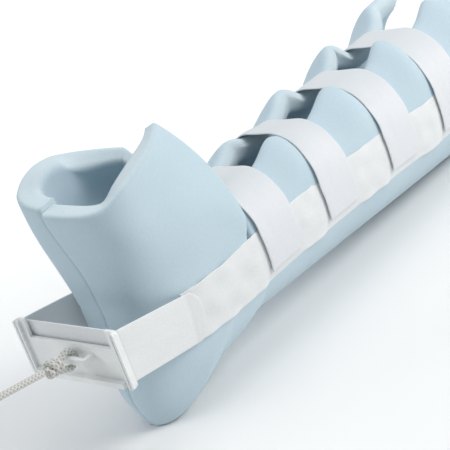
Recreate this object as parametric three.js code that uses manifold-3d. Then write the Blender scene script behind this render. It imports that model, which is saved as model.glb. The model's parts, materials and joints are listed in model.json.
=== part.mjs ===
// Traction splint for a lower leg: a foam boot that is open along the shin, four soft
// straps across it, a strip down each side, a stirrup strap through a moulded spreader
// plate under the sole, and a short pull rope tied to the plate's bridge.
// Millimetres, +Z up. The leg lies along +Y, the sole faces -Y, and the boot rests on
// its heel and on the underside of its far end.

import * as THREE from 'three';
import Module from 'manifold-3d';
import { mergeVertices } from 'three/addons/utils/BufferGeometryUtils.js';

// Driving dimensions. Y is measured from the sole at the leg's axis until the last step.
const LEG = {
  axisHeight: 96.6, axisFall: 0.0227,
  ankleY: 59, ankleRadius: 60.4, radiusGrowth: 0.0518,
  start: 136.5, end: 579, stationStep: 19,
  shinPower: 2.4, gapAngle: 24, sideRise: 27, lean: 0.2,
};
const FOAM = {
  thickness: 22, seamGap: 1.2, bulgeFrom: 15, bulgeSkew: 1.6, pinchFrom: 32, pinchPower: 1.5,
  endRise: 45,
};
const SQUARENESS = { ankle: 3.4, heel: 1.75 };
const SOLE = { y: -0.8, lean: 4.6 };
const NOTCH = { y: 136.5, z: 120.6, radius: 3 };
const GRID = { wrap: 14, shin: 4, foot: 7, heel: 17, wrapPower: 1.2, heelCrowding: 0.05 };
const WEBBING = { width: 50, thickness: 2, clearance: 0.7 };
const STRIP = { start: 39, end: 572, columns: 6, step: 18, bow: 5.5, bowFrom: 90, bowTo: 420 };
const STRAP = { width: 47, lowEdge: 15, easeFrom: 4, easeTo: 12, wrapSteps: 10, bridgeSteps: 4 };
const STIRRUP = {
  tangentY: 41, endY: 54, cornerCut: 9, cornerPower: 4, clearance: 0.4,
  tabSteps: 2, armSteps: 4, arcSteps: 4,
};
const PLATE = {
  width: 122, height: 55, y: -38.8, z: 111.7,
  wall: 3, slot: 3.6, channel: 108, backHeight: 46, window: 98, frontRise: 10,
  floorWall: 2, corner: 4, lipWidth: 6, lipDepth: 3, lipCorner: 2.8,
  grooveWidth: 1.4, grooveDepth: 1.6,
  ledgeHeight: 5, ledgeDepth: 5.5, ledgeRise: 2, ledgeInset: 8, cornerSteps: 5,
};
const BRIDGE = { x: 10, span: 30, bar: 4, height: 5.5, clear: 7.5, cornerSteps: 4 };
const JOIN_OVERLAP = 1;
const WELD_DISTANCE = 1e-4;
const ROPE = { diameter: 6, x: 2.5, slope: 0.21, sides: 10, steps: 6, endGap: 0.4 };
const KNOT = { length: 19, width: 16, bite: 1.5, around: 14, along: 10 };
const LOOP = { sweep: 125, slack: 0.8, rise: 2.1, upper: 4, lower: 1, turns: 8, steps: 28 };
const END_KNOT = { y: -143, length: 16, width: 14 };

const BACK_LINE = [
  { y: -2.7, z: 120.6 },
  { y: -5, z: 79 },
  { y: -8.2, z: 36 },
  { y: -0.5, z: 8.5 },
  { y: 7.5, z: -3.2 },
  { y: 24, z: -2.6 },
  { y: 47, z: 10 },
  { y: 100, z: 19 },
  { y: 136.5, z: 28.5 },
];
const BACK_SAMPLES = 80;
const SEAM = { end: 0.62, drift: 17, driftFrom: 150, driftTo: 223 };
const EDGE = { swing: 9, swingLevel: 0.15, sweep: 2.37, widestLevel: 0.8, inward: 2.2 };

const HALVES = [
  {
    name: 'near', side: 1, halfWidth: 56, widestY: 37.5, edgeX: 38.5, edgeY: 95.5,
    tuck: 0, belly: 4.3, squareness: 2.57, pinch: 0, swelling: 0.8, over: 4, reach: 5,
    rim: [
      { wrap: 0, height: 222.7 },
      { wrap: 0.28, height: 223.4 },
      { wrap: 0.5, height: 234.2 },
      { wrap: 1, height: 255.5 },
    ],
  },
  {
    name: 'far', side: -1, halfWidth: 60.2, widestY: 50.5, edgeX: 4, edgeY: 91.5,
    tuck: 2.5, belly: 3.3, squareness: 4.1, pinch: 0.5, swelling: 1, over: 0, reach: 0,
    rim: [
      { wrap: 0, height: 227.6 },
      { wrap: 0.3, height: 236.7 },
      { wrap: 0.6, height: 245.8 },
      { wrap: 1, height: 234 },
    ],
  },
];

// Each strap's middle, how far the foam swells out past it, the share of the swelling before
// it that is left at its front edge, and the share of the far half's pinch that ends past it.
const STRAPS = [
  { name: 'leg_strap_1', middle: 167, bulge: 13, front: 0, release: 0.42 },
  { name: 'leg_strap_2', middle: 258, bulge: 16, front: 0.75, release: 0.55 },
  { name: 'leg_strap_3', middle: 364, bulge: 18, front: 0.2, release: 0.62 },
  { name: 'leg_strap_4', middle: 460, bulge: 18, front: 0.1, release: 0.8 },
];

const COLOURS = {
  foam: { color: 0xbcd2e2, roughness: 0.95, metalness: 0 },
  webbing: { color: 0xf1f2f3, roughness: 0.9, metalness: 0 },
  plate: { color: 0xdcdee2, roughness: 0.45, metalness: 0 },
  rope: { color: 0xe9e6dd, roughness: 0.9, metalness: 0 },
};

const { degToRad, lerp, smoothstep, clamp } = THREE.MathUtils;
const wasm = await Module();
wasm.setup();

// Smooth curve of one named column over another.
function profile(rows, at, value) {
  const cubic = new THREE.CubicInterpolant(
    rows.map((row) => row[at]), rows.map((row) => row[value]), 1,
  );
  return (position) => cubic.evaluate(position)[0];
}

function axisZ(y) {
  return LEG.axisHeight - LEG.axisFall * y;
}

function legRadius(y) {
  return LEG.ankleRadius + LEG.radiusGrowth * (y - LEG.ankleY);
}

function soleY(z) {
  return SOLE.y - Math.tan(degToRad(SOLE.lean)) * (z - LEG.axisHeight);
}

// Half width of the leg wrap at a height: round below the axis, squarer towards the shin.
function legX(y, z) {
  const radius = legRadius(y);
  const rise = clamp((z - axisZ(y)) / radius, -1, 1);
  const power = rise > 0 ? LEG.shinPower : 2;
  return radius * (1 - Math.abs(rise) ** power) ** (1 / power);
}

// How the foam swells at a place along the leg: it rises past a strap, keeps a share of its
// height at the next strap's front edge and sinks to nothing under that strap. Past the last
// strap it stays out to the end.
function swell(y) {
  const half = STRAP.width / 2;
  const last = STRAPS.findLastIndex((strap) => y > strap.middle + half);
  if (last < 0) return { share: 0, height: 0, release: 0 };
  const { middle, bulge, release } = STRAPS[last];
  const from = middle + half;
  const next = STRAPS[last + 1];
  if (!next) {
    const share = smoothstep(y, from, from + FOAM.endRise);
    return { share, height: share * bulge, release: share * release };
  }
  const to = next.middle - half;
  const along = clamp((y - from) / (to - from), 0, 1) ** FOAM.bulgeSkew;
  const share = y < to
    ? Math.sin((Math.PI - Math.asin(next.front)) * along)
    : next.front * (1 - smoothstep(y, to, to + STRAP.width));
  return { share, height: share * bulge, release: Math.sin(Math.PI * along) * release };
}

const GAP_EDGE = Math.PI / 2 - degToRad(LEG.gapAngle);

// Angle of a half's edge over the shin, which reaches further where the foam swells.
function shinEdge(half, y) {
  return GAP_EDGE + degToRad(half.over + half.reach * swell(y).share);
}

// How far the side strip bows up off the leg's axis.
function stripRise(y) {
  const along = clamp((y - STRIP.bowFrom) / (STRIP.bowTo - STRIP.bowFrom), 0, 1);
  return STRIP.bow * Math.sin(Math.PI * along);
}

// Radius of the leg wrap at an angle above the horizontal, with the half's swelling between
// the straps.
function shinRadius(half, y, angle) {
  const power = angle > 0 ? LEG.shinPower : 2;
  const sum = Math.abs(Math.cos(angle)) ** power + Math.abs(Math.sin(angle)) ** power;
  const share = smoothstep(angle, degToRad(FOAM.bulgeFrom), GAP_EDGE);
  return legRadius(y) * sum ** (-1 / power) + half.swelling * swell(y).height * share;
}

const heelCurve = new THREE.SplineCurve(BACK_LINE.map((row) => new THREE.Vector2(row.y, row.z)));
const HEEL_SAMPLES = heelCurve.getSpacedPoints(BACK_SAMPLES).map((point) => ({
  turn: Math.atan2(NOTCH.z - point.y, NOTCH.y - point.x),
  reach: Math.hypot(NOTCH.z - point.y, NOTCH.y - point.x),
}));

function heelReach(turn) {
  const next = Math.max(1, HEEL_SAMPLES.findIndex((sample) => sample.turn >= turn));
  const low = HEEL_SAMPLES[next - 1];
  const high = HEEL_SAMPLES[next];
  return lerp(low.reach, high.reach, (turn - low.turn) / (high.turn - low.turn));
}

// Half width of the heel pocket at a place in the side view. The sections fan out from
// the notch: level at the foot, upright where the leg wrap starts.
function heelX(y, z) {
  const turn = clamp(Math.atan2(NOTCH.z - z, NOTCH.y - y), 0, Math.PI / 2);
  const share = clamp(Math.hypot(NOTCH.z - z, NOTCH.y - y) / heelReach(turn), 0, 1);
  const width = legX(NOTCH.y, NOTCH.z);
  const power = lerp(SQUARENESS.ankle, SQUARENESS.heel, smoothstep(turn, 0, Math.PI / 4));
  const foot = width * (1 - share ** power) ** (1 / power);
  const leg = legX(NOTCH.y, NOTCH.z - share * heelReach(Math.PI / 2));
  return lerp(foot, leg, smoothstep(turn, 0, Math.PI / 2));
}

function sideX(y, z) {
  return y < LEG.start ? heelX(y, z) : legX(y, z);
}

// Distance out from the notch, from the back line at wrap 0 to the free edge at wrap 1.
function wrapShare(wrap) {
  return Math.cos(wrap * Math.PI / 2) ** GRID.wrapPower;
}

// A foot wall's section at a level, 0 at the notch and 1 at the rim: round the sole's
// corner to the widest place, then over the instep to the free edge. Towards the rim the
// seam between the halves drifts to the far side.
function footRow(half, level) {
  const rimHeight = profile(half.rim, 'wrap', 'height');
  const power = lerp(SQUARENESS.ankle, half.squareness, level);
  const width = lerp(legX(NOTCH.y, NOTCH.z), half.halfWidth, level)
    + half.belly * Math.sin(Math.PI * level);
  const edgeX = lerp(width, half.edgeX, level);
  const edgeStart = NOTCH.y - NOTCH.radius + EDGE.swing * smoothstep(level, 0, EDGE.swingLevel);
  const edgeY = edgeStart - (edgeStart - half.edgeY) * level ** EDGE.sweep;
  const widestY = lerp(edgeY, half.widestY, smoothstep(level, 0, EDGE.widestLevel));
  return (wrap) => {
    const z = lerp(NOTCH.z, rimHeight(wrap), level);
    const sole = soleY(z) + half.tuck;
    const y = lerp(edgeY, sole, wrapShare(wrap));
    const back = clamp((widestY - y) / (widestY - sole), 0, 1);
    const front = level > 0 ? clamp((y - widestY) / (edgeY - widestY), 0, 1) : 0;
    const inward = (width - edgeX) * front ** EDGE.inward;
    const out = (1 - back ** power) ** (1 / power);
    const drift = SEAM.drift * smoothstep(z, SEAM.driftFrom, SEAM.driftTo) * (1 - out) ** 2;
    return new THREE.Vector3(half.side * (width * out - inward) - drift, y, z);
  };
}

function heelRow(half, share) {
  const back = heelCurve.getPointAt(share);
  const turn = Math.atan2(NOTCH.z - back.y, NOTCH.y - back.x);
  const reach = Math.hypot(NOTCH.z - back.y, NOTCH.y - back.x);
  return (wrap) => {
    const out = lerp(NOTCH.radius, reach, wrapShare(wrap));
    const y = NOTCH.y - out * Math.cos(turn);
    const z = NOTCH.z - out * Math.sin(turn);
    const tuck = half.tuck * wrapShare(wrap) * smoothstep(SEAM.end - share, 0, SEAM.end);
    return new THREE.Vector3(half.side * (wrap > 0 ? heelX(y, z) : 0), y + tuck, z);
  };
}

function legRow(half, y) {
  return (wrap) => {
    const reach = LEG.sideRise + legRadius(y);
    const out = lerp(NOTCH.radius, reach, wrapShare(wrap));
    const z = axisZ(y) + LEG.sideRise - out;
    return new THREE.Vector3(half.side * (wrap > 0 ? legX(y, z) : 0), y, z);
  };
}

// A place on the shin side of the wrap, lifted off the foam. The straps pinch the far half
// inwards over the shin. The sections lean up the leg, but for the square far end.
function shinPoint(half, station, angle, lift) {
  const radius = shinRadius(half, station, angle) + lift;
  const rise = radius * Math.sin(angle);
  const crown = Math.max(0, rise - FOAM.pinchFrom) / (legRadius(station) - FOAM.pinchFrom);
  const pinch = half.pinch * (1 - swell(station).release);
  const width = radius * Math.cos(angle) * (1 - pinch * crown ** FOAM.pinchPower);
  const lastEdge = STRAPS.at(-1).middle + STRAP.width / 2;
  const lean = LEG.lean * (1 - smoothstep(station, lastEdge, LEG.end));
  const shift = lean * Math.max(0, rise - LEG.sideRise + NOTCH.radius);
  return new THREE.Vector3(half.side * width, station + shift, axisZ(station) + rise);
}

function shinRow(half, station) {
  const low = legRow(half, station)(1);
  const from = Math.atan2(low.z - axisZ(station), Math.abs(low.x));
  return (wrap) => (
    wrap > 0 ? shinPoint(half, station, lerp(from, shinEdge(half, station), wrap), 0) : low.clone()
  );
}

// Places along the leg where the wrap has a section: each strap's edges and middle, and
// even steps over what lies between.
function legStations() {
  const half = STRAP.width / 2;
  const stations = [LEG.start];
  const stops = [...STRAPS.map((strap) => strap.middle), LEG.end + half];
  for (const middle of stops) {
    const from = stations.at(-1);
    const to = middle - half;
    const steps = Math.max(1, Math.round((to - from) / LEG.stationStep));
    for (let step = 1; step <= steps; step += 1) stations.push(lerp(from, to, step / steps));
    if (middle <= LEG.end) stations.push(middle, middle + half);
  }
  return stations;
}

// A surface of triangles whose vertices are shared where they coincide.
class Sheet {
  constructor() {
    this.points = [];
    this.triangles = [];
    this.known = new Map();
  }

  vertex(point) {
    const key = point.toArray().map((value) => value.toFixed(3)).join(' ');
    if (!this.known.has(key)) {
      this.known.set(key, this.points.length);
      this.points.push(point.clone());
    }
    return this.known.get(key);
  }

  // Rows of points, wound so that a mirrored grid still faces out.
  grid(rows, mirrored = false) {
    const index = rows.map((row) => row.map((point) => this.vertex(point)));
    for (let i = 0; i + 1 < index.length; i += 1) {
      for (let j = 0; j + 1 < index[i].length; j += 1) {
        const [a, b] = [index[i][j], index[i][j + 1]];
        const [c, d] = [index[i + 1][j], index[i + 1][j + 1]];
        const pair = [[a, b, d], [a, d, c]];
        for (const [p, q, r] of pair) this.triangles.push(mirrored ? [p, r, q] : [p, q, r]);
      }
    }
    return this;
  }

  normals() {
    const sums = this.points.map(() => new THREE.Vector3());
    for (const [a, b, c] of this.triangles) {
      const across = this.points[b].clone().sub(this.points[a]);
      const face = across.cross(this.points[c].clone().sub(this.points[a]));
      for (const corner of [a, b, c]) sums[corner].add(face);
    }
    return sums.map((sum) => sum.normalize());
  }

  // Closed body between this face and a second face, with walls along the free edges.
  closed(faceOut, faceIn) {
    const normals = this.normals();
    const count = this.points.length;
    const both = [
      ...this.points.map((point, i) => faceOut(point.clone(), normals[i])),
      ...this.points.map((point, i) => faceIn(point.clone(), normals[i])),
    ];
    const faces = [];
    const edges = new Map();
    for (const [a, b, c] of this.triangles) {
      faces.push([a, b, c], [a + count, c + count, b + count]);
      for (const [p, q] of [[a, b], [b, c], [c, a]]) edges.set(`${p} ${q}`, [p, q]);
    }
    for (const [p, q] of edges.values()) {
      if (!edges.has(`${q} ${p}`)) faces.push([q, p, p + count], [q, p + count, q + count]);
    }
    const geometry = new THREE.BufferGeometry();
    const positions = both.flatMap((point) => point.toArray());
    geometry.setAttribute('position', new THREE.Float32BufferAttribute(positions, 3));
    geometry.setIndex(faces.flat());
    return geometry;
  }
}

const even = (steps) => Array.from({ length: steps + 1 }, (_, step) => step / steps);

// Shares of the back line, closer together where the heel meets the ground.
function crowded(share) {
  return share + GRID.heelCrowding * Math.sin(2 * Math.PI * share);
}

// The foam boot: both halves of the outer face, thickened inwards. The foam that meets
// the ground is pressed flat there.
function foamBoot() {
  const sheet = new Sheet();
  const wraps = even(GRID.wrap);
  for (const half of HALVES) {
    const mirrored = half.side > 0;
    const seam = (point) => point.setX(point.x + half.side * FOAM.seamGap / 2);
    const foot = even(GRID.foot).slice(0, -1).map((share) => {
      const row = footRow(half, 1 - share);
      return wraps.map((wrap) => (wrap > 0 ? row(wrap) : seam(row(wrap))));
    });
    const heel = even(GRID.heel).map(crowded).map((share) => {
      const row = heelRow(half, share);
      return wraps.map((wrap) => (wrap > 0 || share > SEAM.end ? row(wrap) : seam(row(wrap))));
    });
    const stations = legStations();
    const leg = stations.slice(1).map((y) => wraps.map(legRow(half, y)));
    const shin = stations.map((y) => even(GRID.shin).map(shinRow(half, y)));
    sheet.grid([...foot, ...heel, ...leg], mirrored);
    sheet.grid(shin, mirrored);
  }
  return sheet.closed(
    (point) => point.setZ(Math.max(point.z, 0)),
    (point, normal) => point.addScaledVector(normal, -FOAM.thickness),
  );
}

function band(rows, mirrored) {
  return new Sheet().grid(rows, mirrored).closed(
    (point, normal) => point.addScaledVector(normal, WEBBING.thickness),
    (point) => point,
  );
}

// The strip down one side, lying on the foam.
function sideStrip(side) {
  const steps = Math.round((STRIP.end - STRIP.start) / STRIP.step);
  const rows = even(steps).map((share) => {
    const y = lerp(STRIP.start, STRIP.end, share);
    return even(STRIP.columns).map((across) => {
      const z = axisZ(y) + stripRise(y) + (across - 0.5) * WEBBING.width;
      return new THREE.Vector3(side * (sideX(y, z) + WEBBING.clearance), y, z);
    });
  });
  return band(rows, side > 0);
}

// Height of a strap over the foam: over the side strip first, then down on the foam.
function strapLift(y, angle) {
  const overStrip = 2 * WEBBING.clearance + WEBBING.thickness;
  const stripEdge = Math.asin((WEBBING.width / 2 + stripRise(y)) / legRadius(y));
  const [from, to] = [STRAP.easeFrom, STRAP.easeTo].map((ease) => stripEdge + degToRad(ease));
  return lerp(overStrip, WEBBING.clearance, smoothstep(angle, from, to));
}

// A strap over the shin: up one side, straight across the open front, down the other.
function legStrap(middle) {
  const rows = [-0.5, 0, 0.5].map((across) => {
    const y = middle + across * STRAP.width;
    const low = Math.asin((stripRise(y) - STRAP.lowEdge) / legRadius(y));
    const [climb, far] = HALVES.map((half) => even(STRAP.wrapSteps).map((share) => {
      const angle = lerp(low, shinEdge(half, y), share);
      return shinPoint(half, y, angle, strapLift(y, angle));
    }));
    const bridge = even(STRAP.bridgeSteps).slice(1, -1).map(
      (share) => climb.at(-1).clone().lerp(far.at(-1), share),
    );
    const descent = far.reverse();
    return [...climb, ...bridge, ...descent];
  });
  return band(rows, true);
}

// The stirrup strap: off one side strip, forward to the plate, round the end of its back
// wall, through the slot and back along the other side.
function stirrupStrap() {
  const gap = STIRRUP.clearance;
  const wallFront = PLATE.y + PLATE.wall / 2;
  const turnX = PLATE.channel / 2;
  const turnY = wallFront + PLATE.wall / 2;
  const turnRadius = PLATE.wall / 2 + gap;
  const half = WEBBING.width / 2 - gap;
  const lift = 2 * WEBBING.clearance + WEBBING.thickness;
  const onStrip = (y, across) => {
    const z = axisZ(y) + across * half;
    return new THREE.Vector3(sideX(y, z) + lift, y, z);
  };
  const rows = even(STRIP.columns).map((share) => {
    const across = 2 * share - 1;
    const endY = STIRRUP.endY - STIRRUP.cornerCut * across ** STIRRUP.cornerPower;
    const tab = even(STIRRUP.tabSteps).map(
      (step) => onStrip(lerp(endY, STIRRUP.tangentY, step), across),
    );
    const arm = even(STIRRUP.armSteps).slice(1, -1).map((step) => {
      const from = onStrip(STIRRUP.tangentY, across);
      const to = new THREE.Vector3(turnX + turnRadius, turnY, PLATE.z + across * half);
      return from.lerp(to, step);
    });
    const turn = even(STIRRUP.arcSteps).map((step) => {
      const angle = step * Math.PI / 2;
      return new THREE.Vector3(
        turnX + turnRadius * Math.cos(angle), turnY - turnRadius * Math.sin(angle),
        PLATE.z + across * half,
      );
    });
    const near = [...tab, ...arm, ...turn];
    const far = near.map((point) => point.clone().setX(-point.x)).reverse();
    return [...near, ...far];
  });
  return band(rows, true);
}

// Boolean joins and cuts.
function solid(geometry) {
  const bare = geometry.clone();
  for (const name of ['normal', 'uv']) bare.deleteAttribute(name);
  const merged = mergeVertices(bare, WELD_DISTANCE);
  return new wasm.Manifold(new wasm.Mesh({
    numProp: 3,
    vertProperties: Float32Array.from(merged.attributes.position.array),
    triVerts: Uint32Array.from(merged.index.array),
  }));
}

function fromSolid(body) {
  const { vertProperties, triVerts } = body.getMesh();
  const geometry = new THREE.BufferGeometry();
  geometry.setAttribute('position', new THREE.Float32BufferAttribute(vertProperties, 3));
  geometry.setIndex([...triVerts]);
  return geometry;
}

function box(width, depth, height, x, y, z) {
  return solid(new THREE.BoxGeometry(width, depth, height).translate(x, y, z));
}

function roundedRectangle(width, height, corner) {
  const [w, h] = [width / 2, height / 2];
  const shape = new THREE.Shape();
  shape.moveTo(-w + corner, -h);
  shape.lineTo(w - corner, -h);
  shape.absarc(w - corner, -h + corner, corner, -Math.PI / 2, 0);
  shape.lineTo(w, h - corner);
  shape.absarc(w - corner, h - corner, corner, 0, Math.PI / 2);
  shape.lineTo(-w + corner, h);
  shape.absarc(-w + corner, h - corner, corner, Math.PI / 2, Math.PI);
  shape.lineTo(-w, -h + corner);
  shape.absarc(-w + corner, -h + corner, corner, Math.PI, 1.5 * Math.PI);
  return shape;
}

// An outline in the XZ plane given depth along Y, from y to y + depth.
function standing(shape, depth, y) {
  const geometry = new THREE.ExtrudeGeometry(shape, {
    depth, bevelEnabled: false, curveSegments: PLATE.cornerSteps,
  });
  return solid(geometry.rotateX(Math.PI / 2).translate(0, y + depth, 0));
}

// The spreader plate, about its own centre line: a channel open at the top and both ends,
// with a low back wall and front panel, two grooved full-height end lips, a bottom ledge and
// the bridge.
function spreaderPlate() {
  const { width, height, wall, slot, channel, corner, lipWidth, lipDepth } = PLATE;
  const panelFront = -slot - wall;
  const backShape = roundedRectangle(channel, PLATE.backHeight, corner);
  const backWall = standing(backShape, wall, 0).translate(0, 0, (PLATE.backHeight - height) / 2);
  const front = standing(roundedRectangle(width, height, corner), wall, panelFront);
  const windowRise = height / 2 - PLATE.frontRise;
  const opening = box(PLATE.window, 3 * wall, 2 * windowRise, 0, panelFront, height / 2);
  const floor = box(
    channel - 2 * corner, slot + 2 * JOIN_OVERLAP, PLATE.floorWall,
    0, -slot / 2, (PLATE.floorWall - height) / 2,
  );
  const ledge = box(
    width - 2 * PLATE.ledgeInset, PLATE.ledgeDepth + JOIN_OVERLAP, PLATE.ledgeHeight,
    0, panelFront + (JOIN_OVERLAP - PLATE.ledgeDepth) / 2,
    (PLATE.ledgeHeight - height) / 2 + PLATE.ledgeRise,
  );
  let body = front.subtract(opening).add(backWall).add(floor).add(ledge);
  const lipShape = roundedRectangle(lipWidth, height, PLATE.lipCorner);
  const groove = box(
    PLATE.grooveWidth, 2 * PLATE.grooveDepth, height, 0, panelFront - lipDepth, 0,
  );
  const lip = standing(lipShape, lipDepth + JOIN_OVERLAP, panelFront - lipDepth).subtract(groove);
  for (const end of [-1, 1]) {
    body = body.add(lip.translate(end * (width - lipWidth) / 2, 0, 0));
  }
  return fromSolid(body.add(bridge(panelFront)));
}

// The raised bridge: a bar held off the panel by a leg at each end.
function bridge(panelFront) {
  const reach = BRIDGE.clear + BRIDGE.bar;
  const half = BRIDGE.span / 2;
  const outline = new THREE.Shape();
  outline.moveTo(-half, JOIN_OVERLAP);
  outline.lineTo(-half, -reach + BRIDGE.bar);
  outline.absarc(-half + BRIDGE.bar, -reach + BRIDGE.bar, BRIDGE.bar, Math.PI, 1.5 * Math.PI);
  outline.lineTo(half - BRIDGE.bar, -reach);
  outline.absarc(half - BRIDGE.bar, -reach + BRIDGE.bar, BRIDGE.bar, 1.5 * Math.PI, 2 * Math.PI);
  outline.lineTo(half, JOIN_OVERLAP);
  outline.lineTo(half - BRIDGE.bar, JOIN_OVERLAP);
  outline.lineTo(half - BRIDGE.bar, -BRIDGE.clear);
  outline.lineTo(-half + BRIDGE.bar, -BRIDGE.clear);
  outline.lineTo(-half + BRIDGE.bar, JOIN_OVERLAP);
  const geometry = new THREE.ExtrudeGeometry(outline, {
    depth: BRIDGE.height, bevelEnabled: false, curveSegments: BRIDGE.cornerSteps,
  });
  return solid(geometry.translate(BRIDGE.x, panelFront, -BRIDGE.height / 2));
}

function tube(points, steps) {
  const ring = new THREE.Shape().absarc(0, 0, ROPE.diameter / 2, 0, 2 * Math.PI);
  return new THREE.ExtrudeGeometry(ring, {
    steps, curveSegments: ROPE.sides / 2, bevelEnabled: false,
    extrudePath: new THREE.CatmullRomCurve3(points, false, 'centripetal'),
  });
}

// An egg-shaped knot lying along the rope, from its middle.
function knot(length, width) {
  const egg = new THREE.SphereGeometry(0.5, KNOT.around, KNOT.along).scale(width, width, length);
  const direction = new THREE.Vector3(0, -1, ROPE.slope).normalize();
  const turn = new THREE.Quaternion().setFromUnitVectors(new THREE.Vector3(0, 0, 1), direction);
  return egg.applyQuaternion(turn);
}

const PLATE_FRONT = PLATE.y - PLATE.slot - PLATE.wall / 2;
const BAR_Y = PLATE_FRONT - BRIDGE.clear - BRIDGE.bar / 2;
const KNOT_Y = BAR_Y - BRIDGE.bar / 2 - ROPE.diameter - KNOT.length / 2 + KNOT.bite;

function ropeZ(y) {
  return PLATE.z + ROPE.slope * (BAR_Y - y);
}

// The rope's loop round the bridge bar, joined to its knot.
function ropeTie() {
  const reach = (BRIDGE.bar + ROPE.diameter) / 2 + LOOP.slack;
  const rise = (BRIDGE.height + ROPE.diameter) / 2 + LOOP.rise;
  const turns = even(LOOP.turns).map((share) => degToRad(lerp(LOOP.sweep, -LOOP.sweep, share)));
  const stops = [
    { y: KNOT_Y - BAR_Y, z: LOOP.upper },
    ...turns.map((turn) => ({ y: reach * Math.cos(turn), z: rise * Math.sin(turn) })),
    { y: KNOT_Y - BAR_Y, z: LOOP.lower },
  ];
  const points = stops.map(
    (stop) => new THREE.Vector3(ROPE.x, BAR_Y + stop.y, PLATE.z + stop.z),
  );
  const lump = knot(KNOT.length, KNOT.width).translate(ROPE.x, KNOT_Y, ropeZ(KNOT_Y));
  return fromSolid(solid(tube(points, LOOP.steps)).add(solid(lump)));
}

function tractionRope() {
  const from = KNOT_Y - KNOT.length / 2 - ROPE.endGap;
  const to = END_KNOT.y + END_KNOT.length / 2 + ROPE.endGap;
  const points = even(ROPE.steps / 2).map((share) => {
    const y = lerp(from, to, share);
    return new THREE.Vector3(ROPE.x, y, ropeZ(y));
  });
  return tube(points, ROPE.steps);
}

function endKnot() {
  return knot(END_KNOT.length, END_KNOT.width).translate(ROPE.x, END_KNOT.y, ropeZ(END_KNOT.y));
}

const MATERIALS = Object.fromEntries(Object.entries(COLOURS).map(
  ([slot, look]) => [slot, new THREE.MeshStandardMaterial(look)],
));

const splint = new THREE.Group();
splint.name = 'traction_splint';

function place(name, geometry, slot) {
  const mesh = new THREE.Mesh(geometry, MATERIALS[slot]);
  mesh.name = name;
  splint.add(mesh);
  return mesh;
}

place('foam_boot', foamBoot(), 'foam');
place('side_strip_near', sideStrip(1), 'webbing');
place('side_strip_far', sideStrip(-1), 'webbing');
for (const strap of STRAPS) place(strap.name, legStrap(strap.middle), 'webbing');
place('stirrup_strap', stirrupStrap(), 'webbing');
place('spreader_plate', spreaderPlate(), 'plate')
  .position.set(0, PLATE.y + PLATE.wall / 2, PLATE.z);
place('rope_tie', ropeTie(), 'rope');
place('traction_rope', tractionRope(), 'rope');
place('rope_end_knot', endKnot(), 'rope');

// The origin is on the ground under the middle of the splint, its rope aside.
const body = new THREE.Box3();
for (const mesh of splint.children) {
  if (mesh.material !== MATERIALS.rope) body.expandByObject(mesh);
}
splint.position.y = -body.getCenter(new THREE.Vector3()).y;

export default splint;
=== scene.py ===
"""Traction splint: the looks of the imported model, built on its own frame.

Shapes are worked out in millimetres in the splint's own frame: the sole is at y = 0, the leg
runs along +Y and +Z is up. BootShape.to_frame moves them into the shared frame, in metres.
"""

from __future__ import annotations

import json
import logging
import math
from dataclasses import dataclass, field
from enum import Enum, IntEnum

import bpy
import numpy as np
from mathutils import Matrix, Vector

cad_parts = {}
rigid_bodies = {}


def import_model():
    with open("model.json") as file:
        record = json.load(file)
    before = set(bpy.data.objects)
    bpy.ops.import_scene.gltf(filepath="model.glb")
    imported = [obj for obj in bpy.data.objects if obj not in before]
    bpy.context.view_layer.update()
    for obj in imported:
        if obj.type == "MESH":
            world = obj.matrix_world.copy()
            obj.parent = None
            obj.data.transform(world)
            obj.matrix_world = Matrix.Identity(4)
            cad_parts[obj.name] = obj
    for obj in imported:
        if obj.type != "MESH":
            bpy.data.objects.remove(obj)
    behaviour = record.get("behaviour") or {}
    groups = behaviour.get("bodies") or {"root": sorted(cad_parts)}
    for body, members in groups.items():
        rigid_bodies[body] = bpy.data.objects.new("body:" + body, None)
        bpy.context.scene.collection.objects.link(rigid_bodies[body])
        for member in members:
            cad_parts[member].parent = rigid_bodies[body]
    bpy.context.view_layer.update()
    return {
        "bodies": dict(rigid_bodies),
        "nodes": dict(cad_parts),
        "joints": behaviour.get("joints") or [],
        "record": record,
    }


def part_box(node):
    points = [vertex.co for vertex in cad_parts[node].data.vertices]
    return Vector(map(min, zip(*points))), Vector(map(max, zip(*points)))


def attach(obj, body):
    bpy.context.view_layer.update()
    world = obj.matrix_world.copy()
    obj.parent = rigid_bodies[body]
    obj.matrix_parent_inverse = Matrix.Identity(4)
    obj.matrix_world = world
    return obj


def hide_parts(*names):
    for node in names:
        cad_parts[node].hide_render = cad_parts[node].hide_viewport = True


log = logging.getLogger("splint")

MM = 0.001
BODY = "root"
# Least length that a vector or a span is divided by.
TINY = 1e-9
# Points for each control point of a curve, before they are spread evenly.
CURVE_DENSITY = 40
# Vertices whose distance from the edges is measured at a time.
CHUNK = 1500
# Places within a rounded edge, as shares of its radius.
EDGE_PLACES = np.array([0.0, 0.08, 0.26, 0.56, 1.0])
# The shares that a mask runs over, and the span of a noise that counts.
WHOLE = (0.0, 1.0)
NOISE_SPAN = (0.3, 0.7)

Array = np.ndarray
Colour = tuple[float, float, float]
Triple = tuple[float, float, float]
Span = tuple[float, float]
Wave = tuple[float, float, float, float]


class Slot(Enum):
    """Material slots of the record."""

    FOAM = "foam"
    WEBBING = "webbing"
    PLATE = "plate"
    ROPE = "rope"


class Lay(Enum):
    """How a soft piece is held."""

    STRETCHED = "stretched"
    TAUT = "taut"


class Side(IntEnum):
    """Sides of the boot, by the sign of x."""

    NEAR = 1
    FAR = -1


# Numbers and grids


def mix(low: Array | float, high: Array | float, share: Array | float) -> Array | float:
    """Low plus the share times the difference of high and low."""
    return low + (high - low) * share


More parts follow.
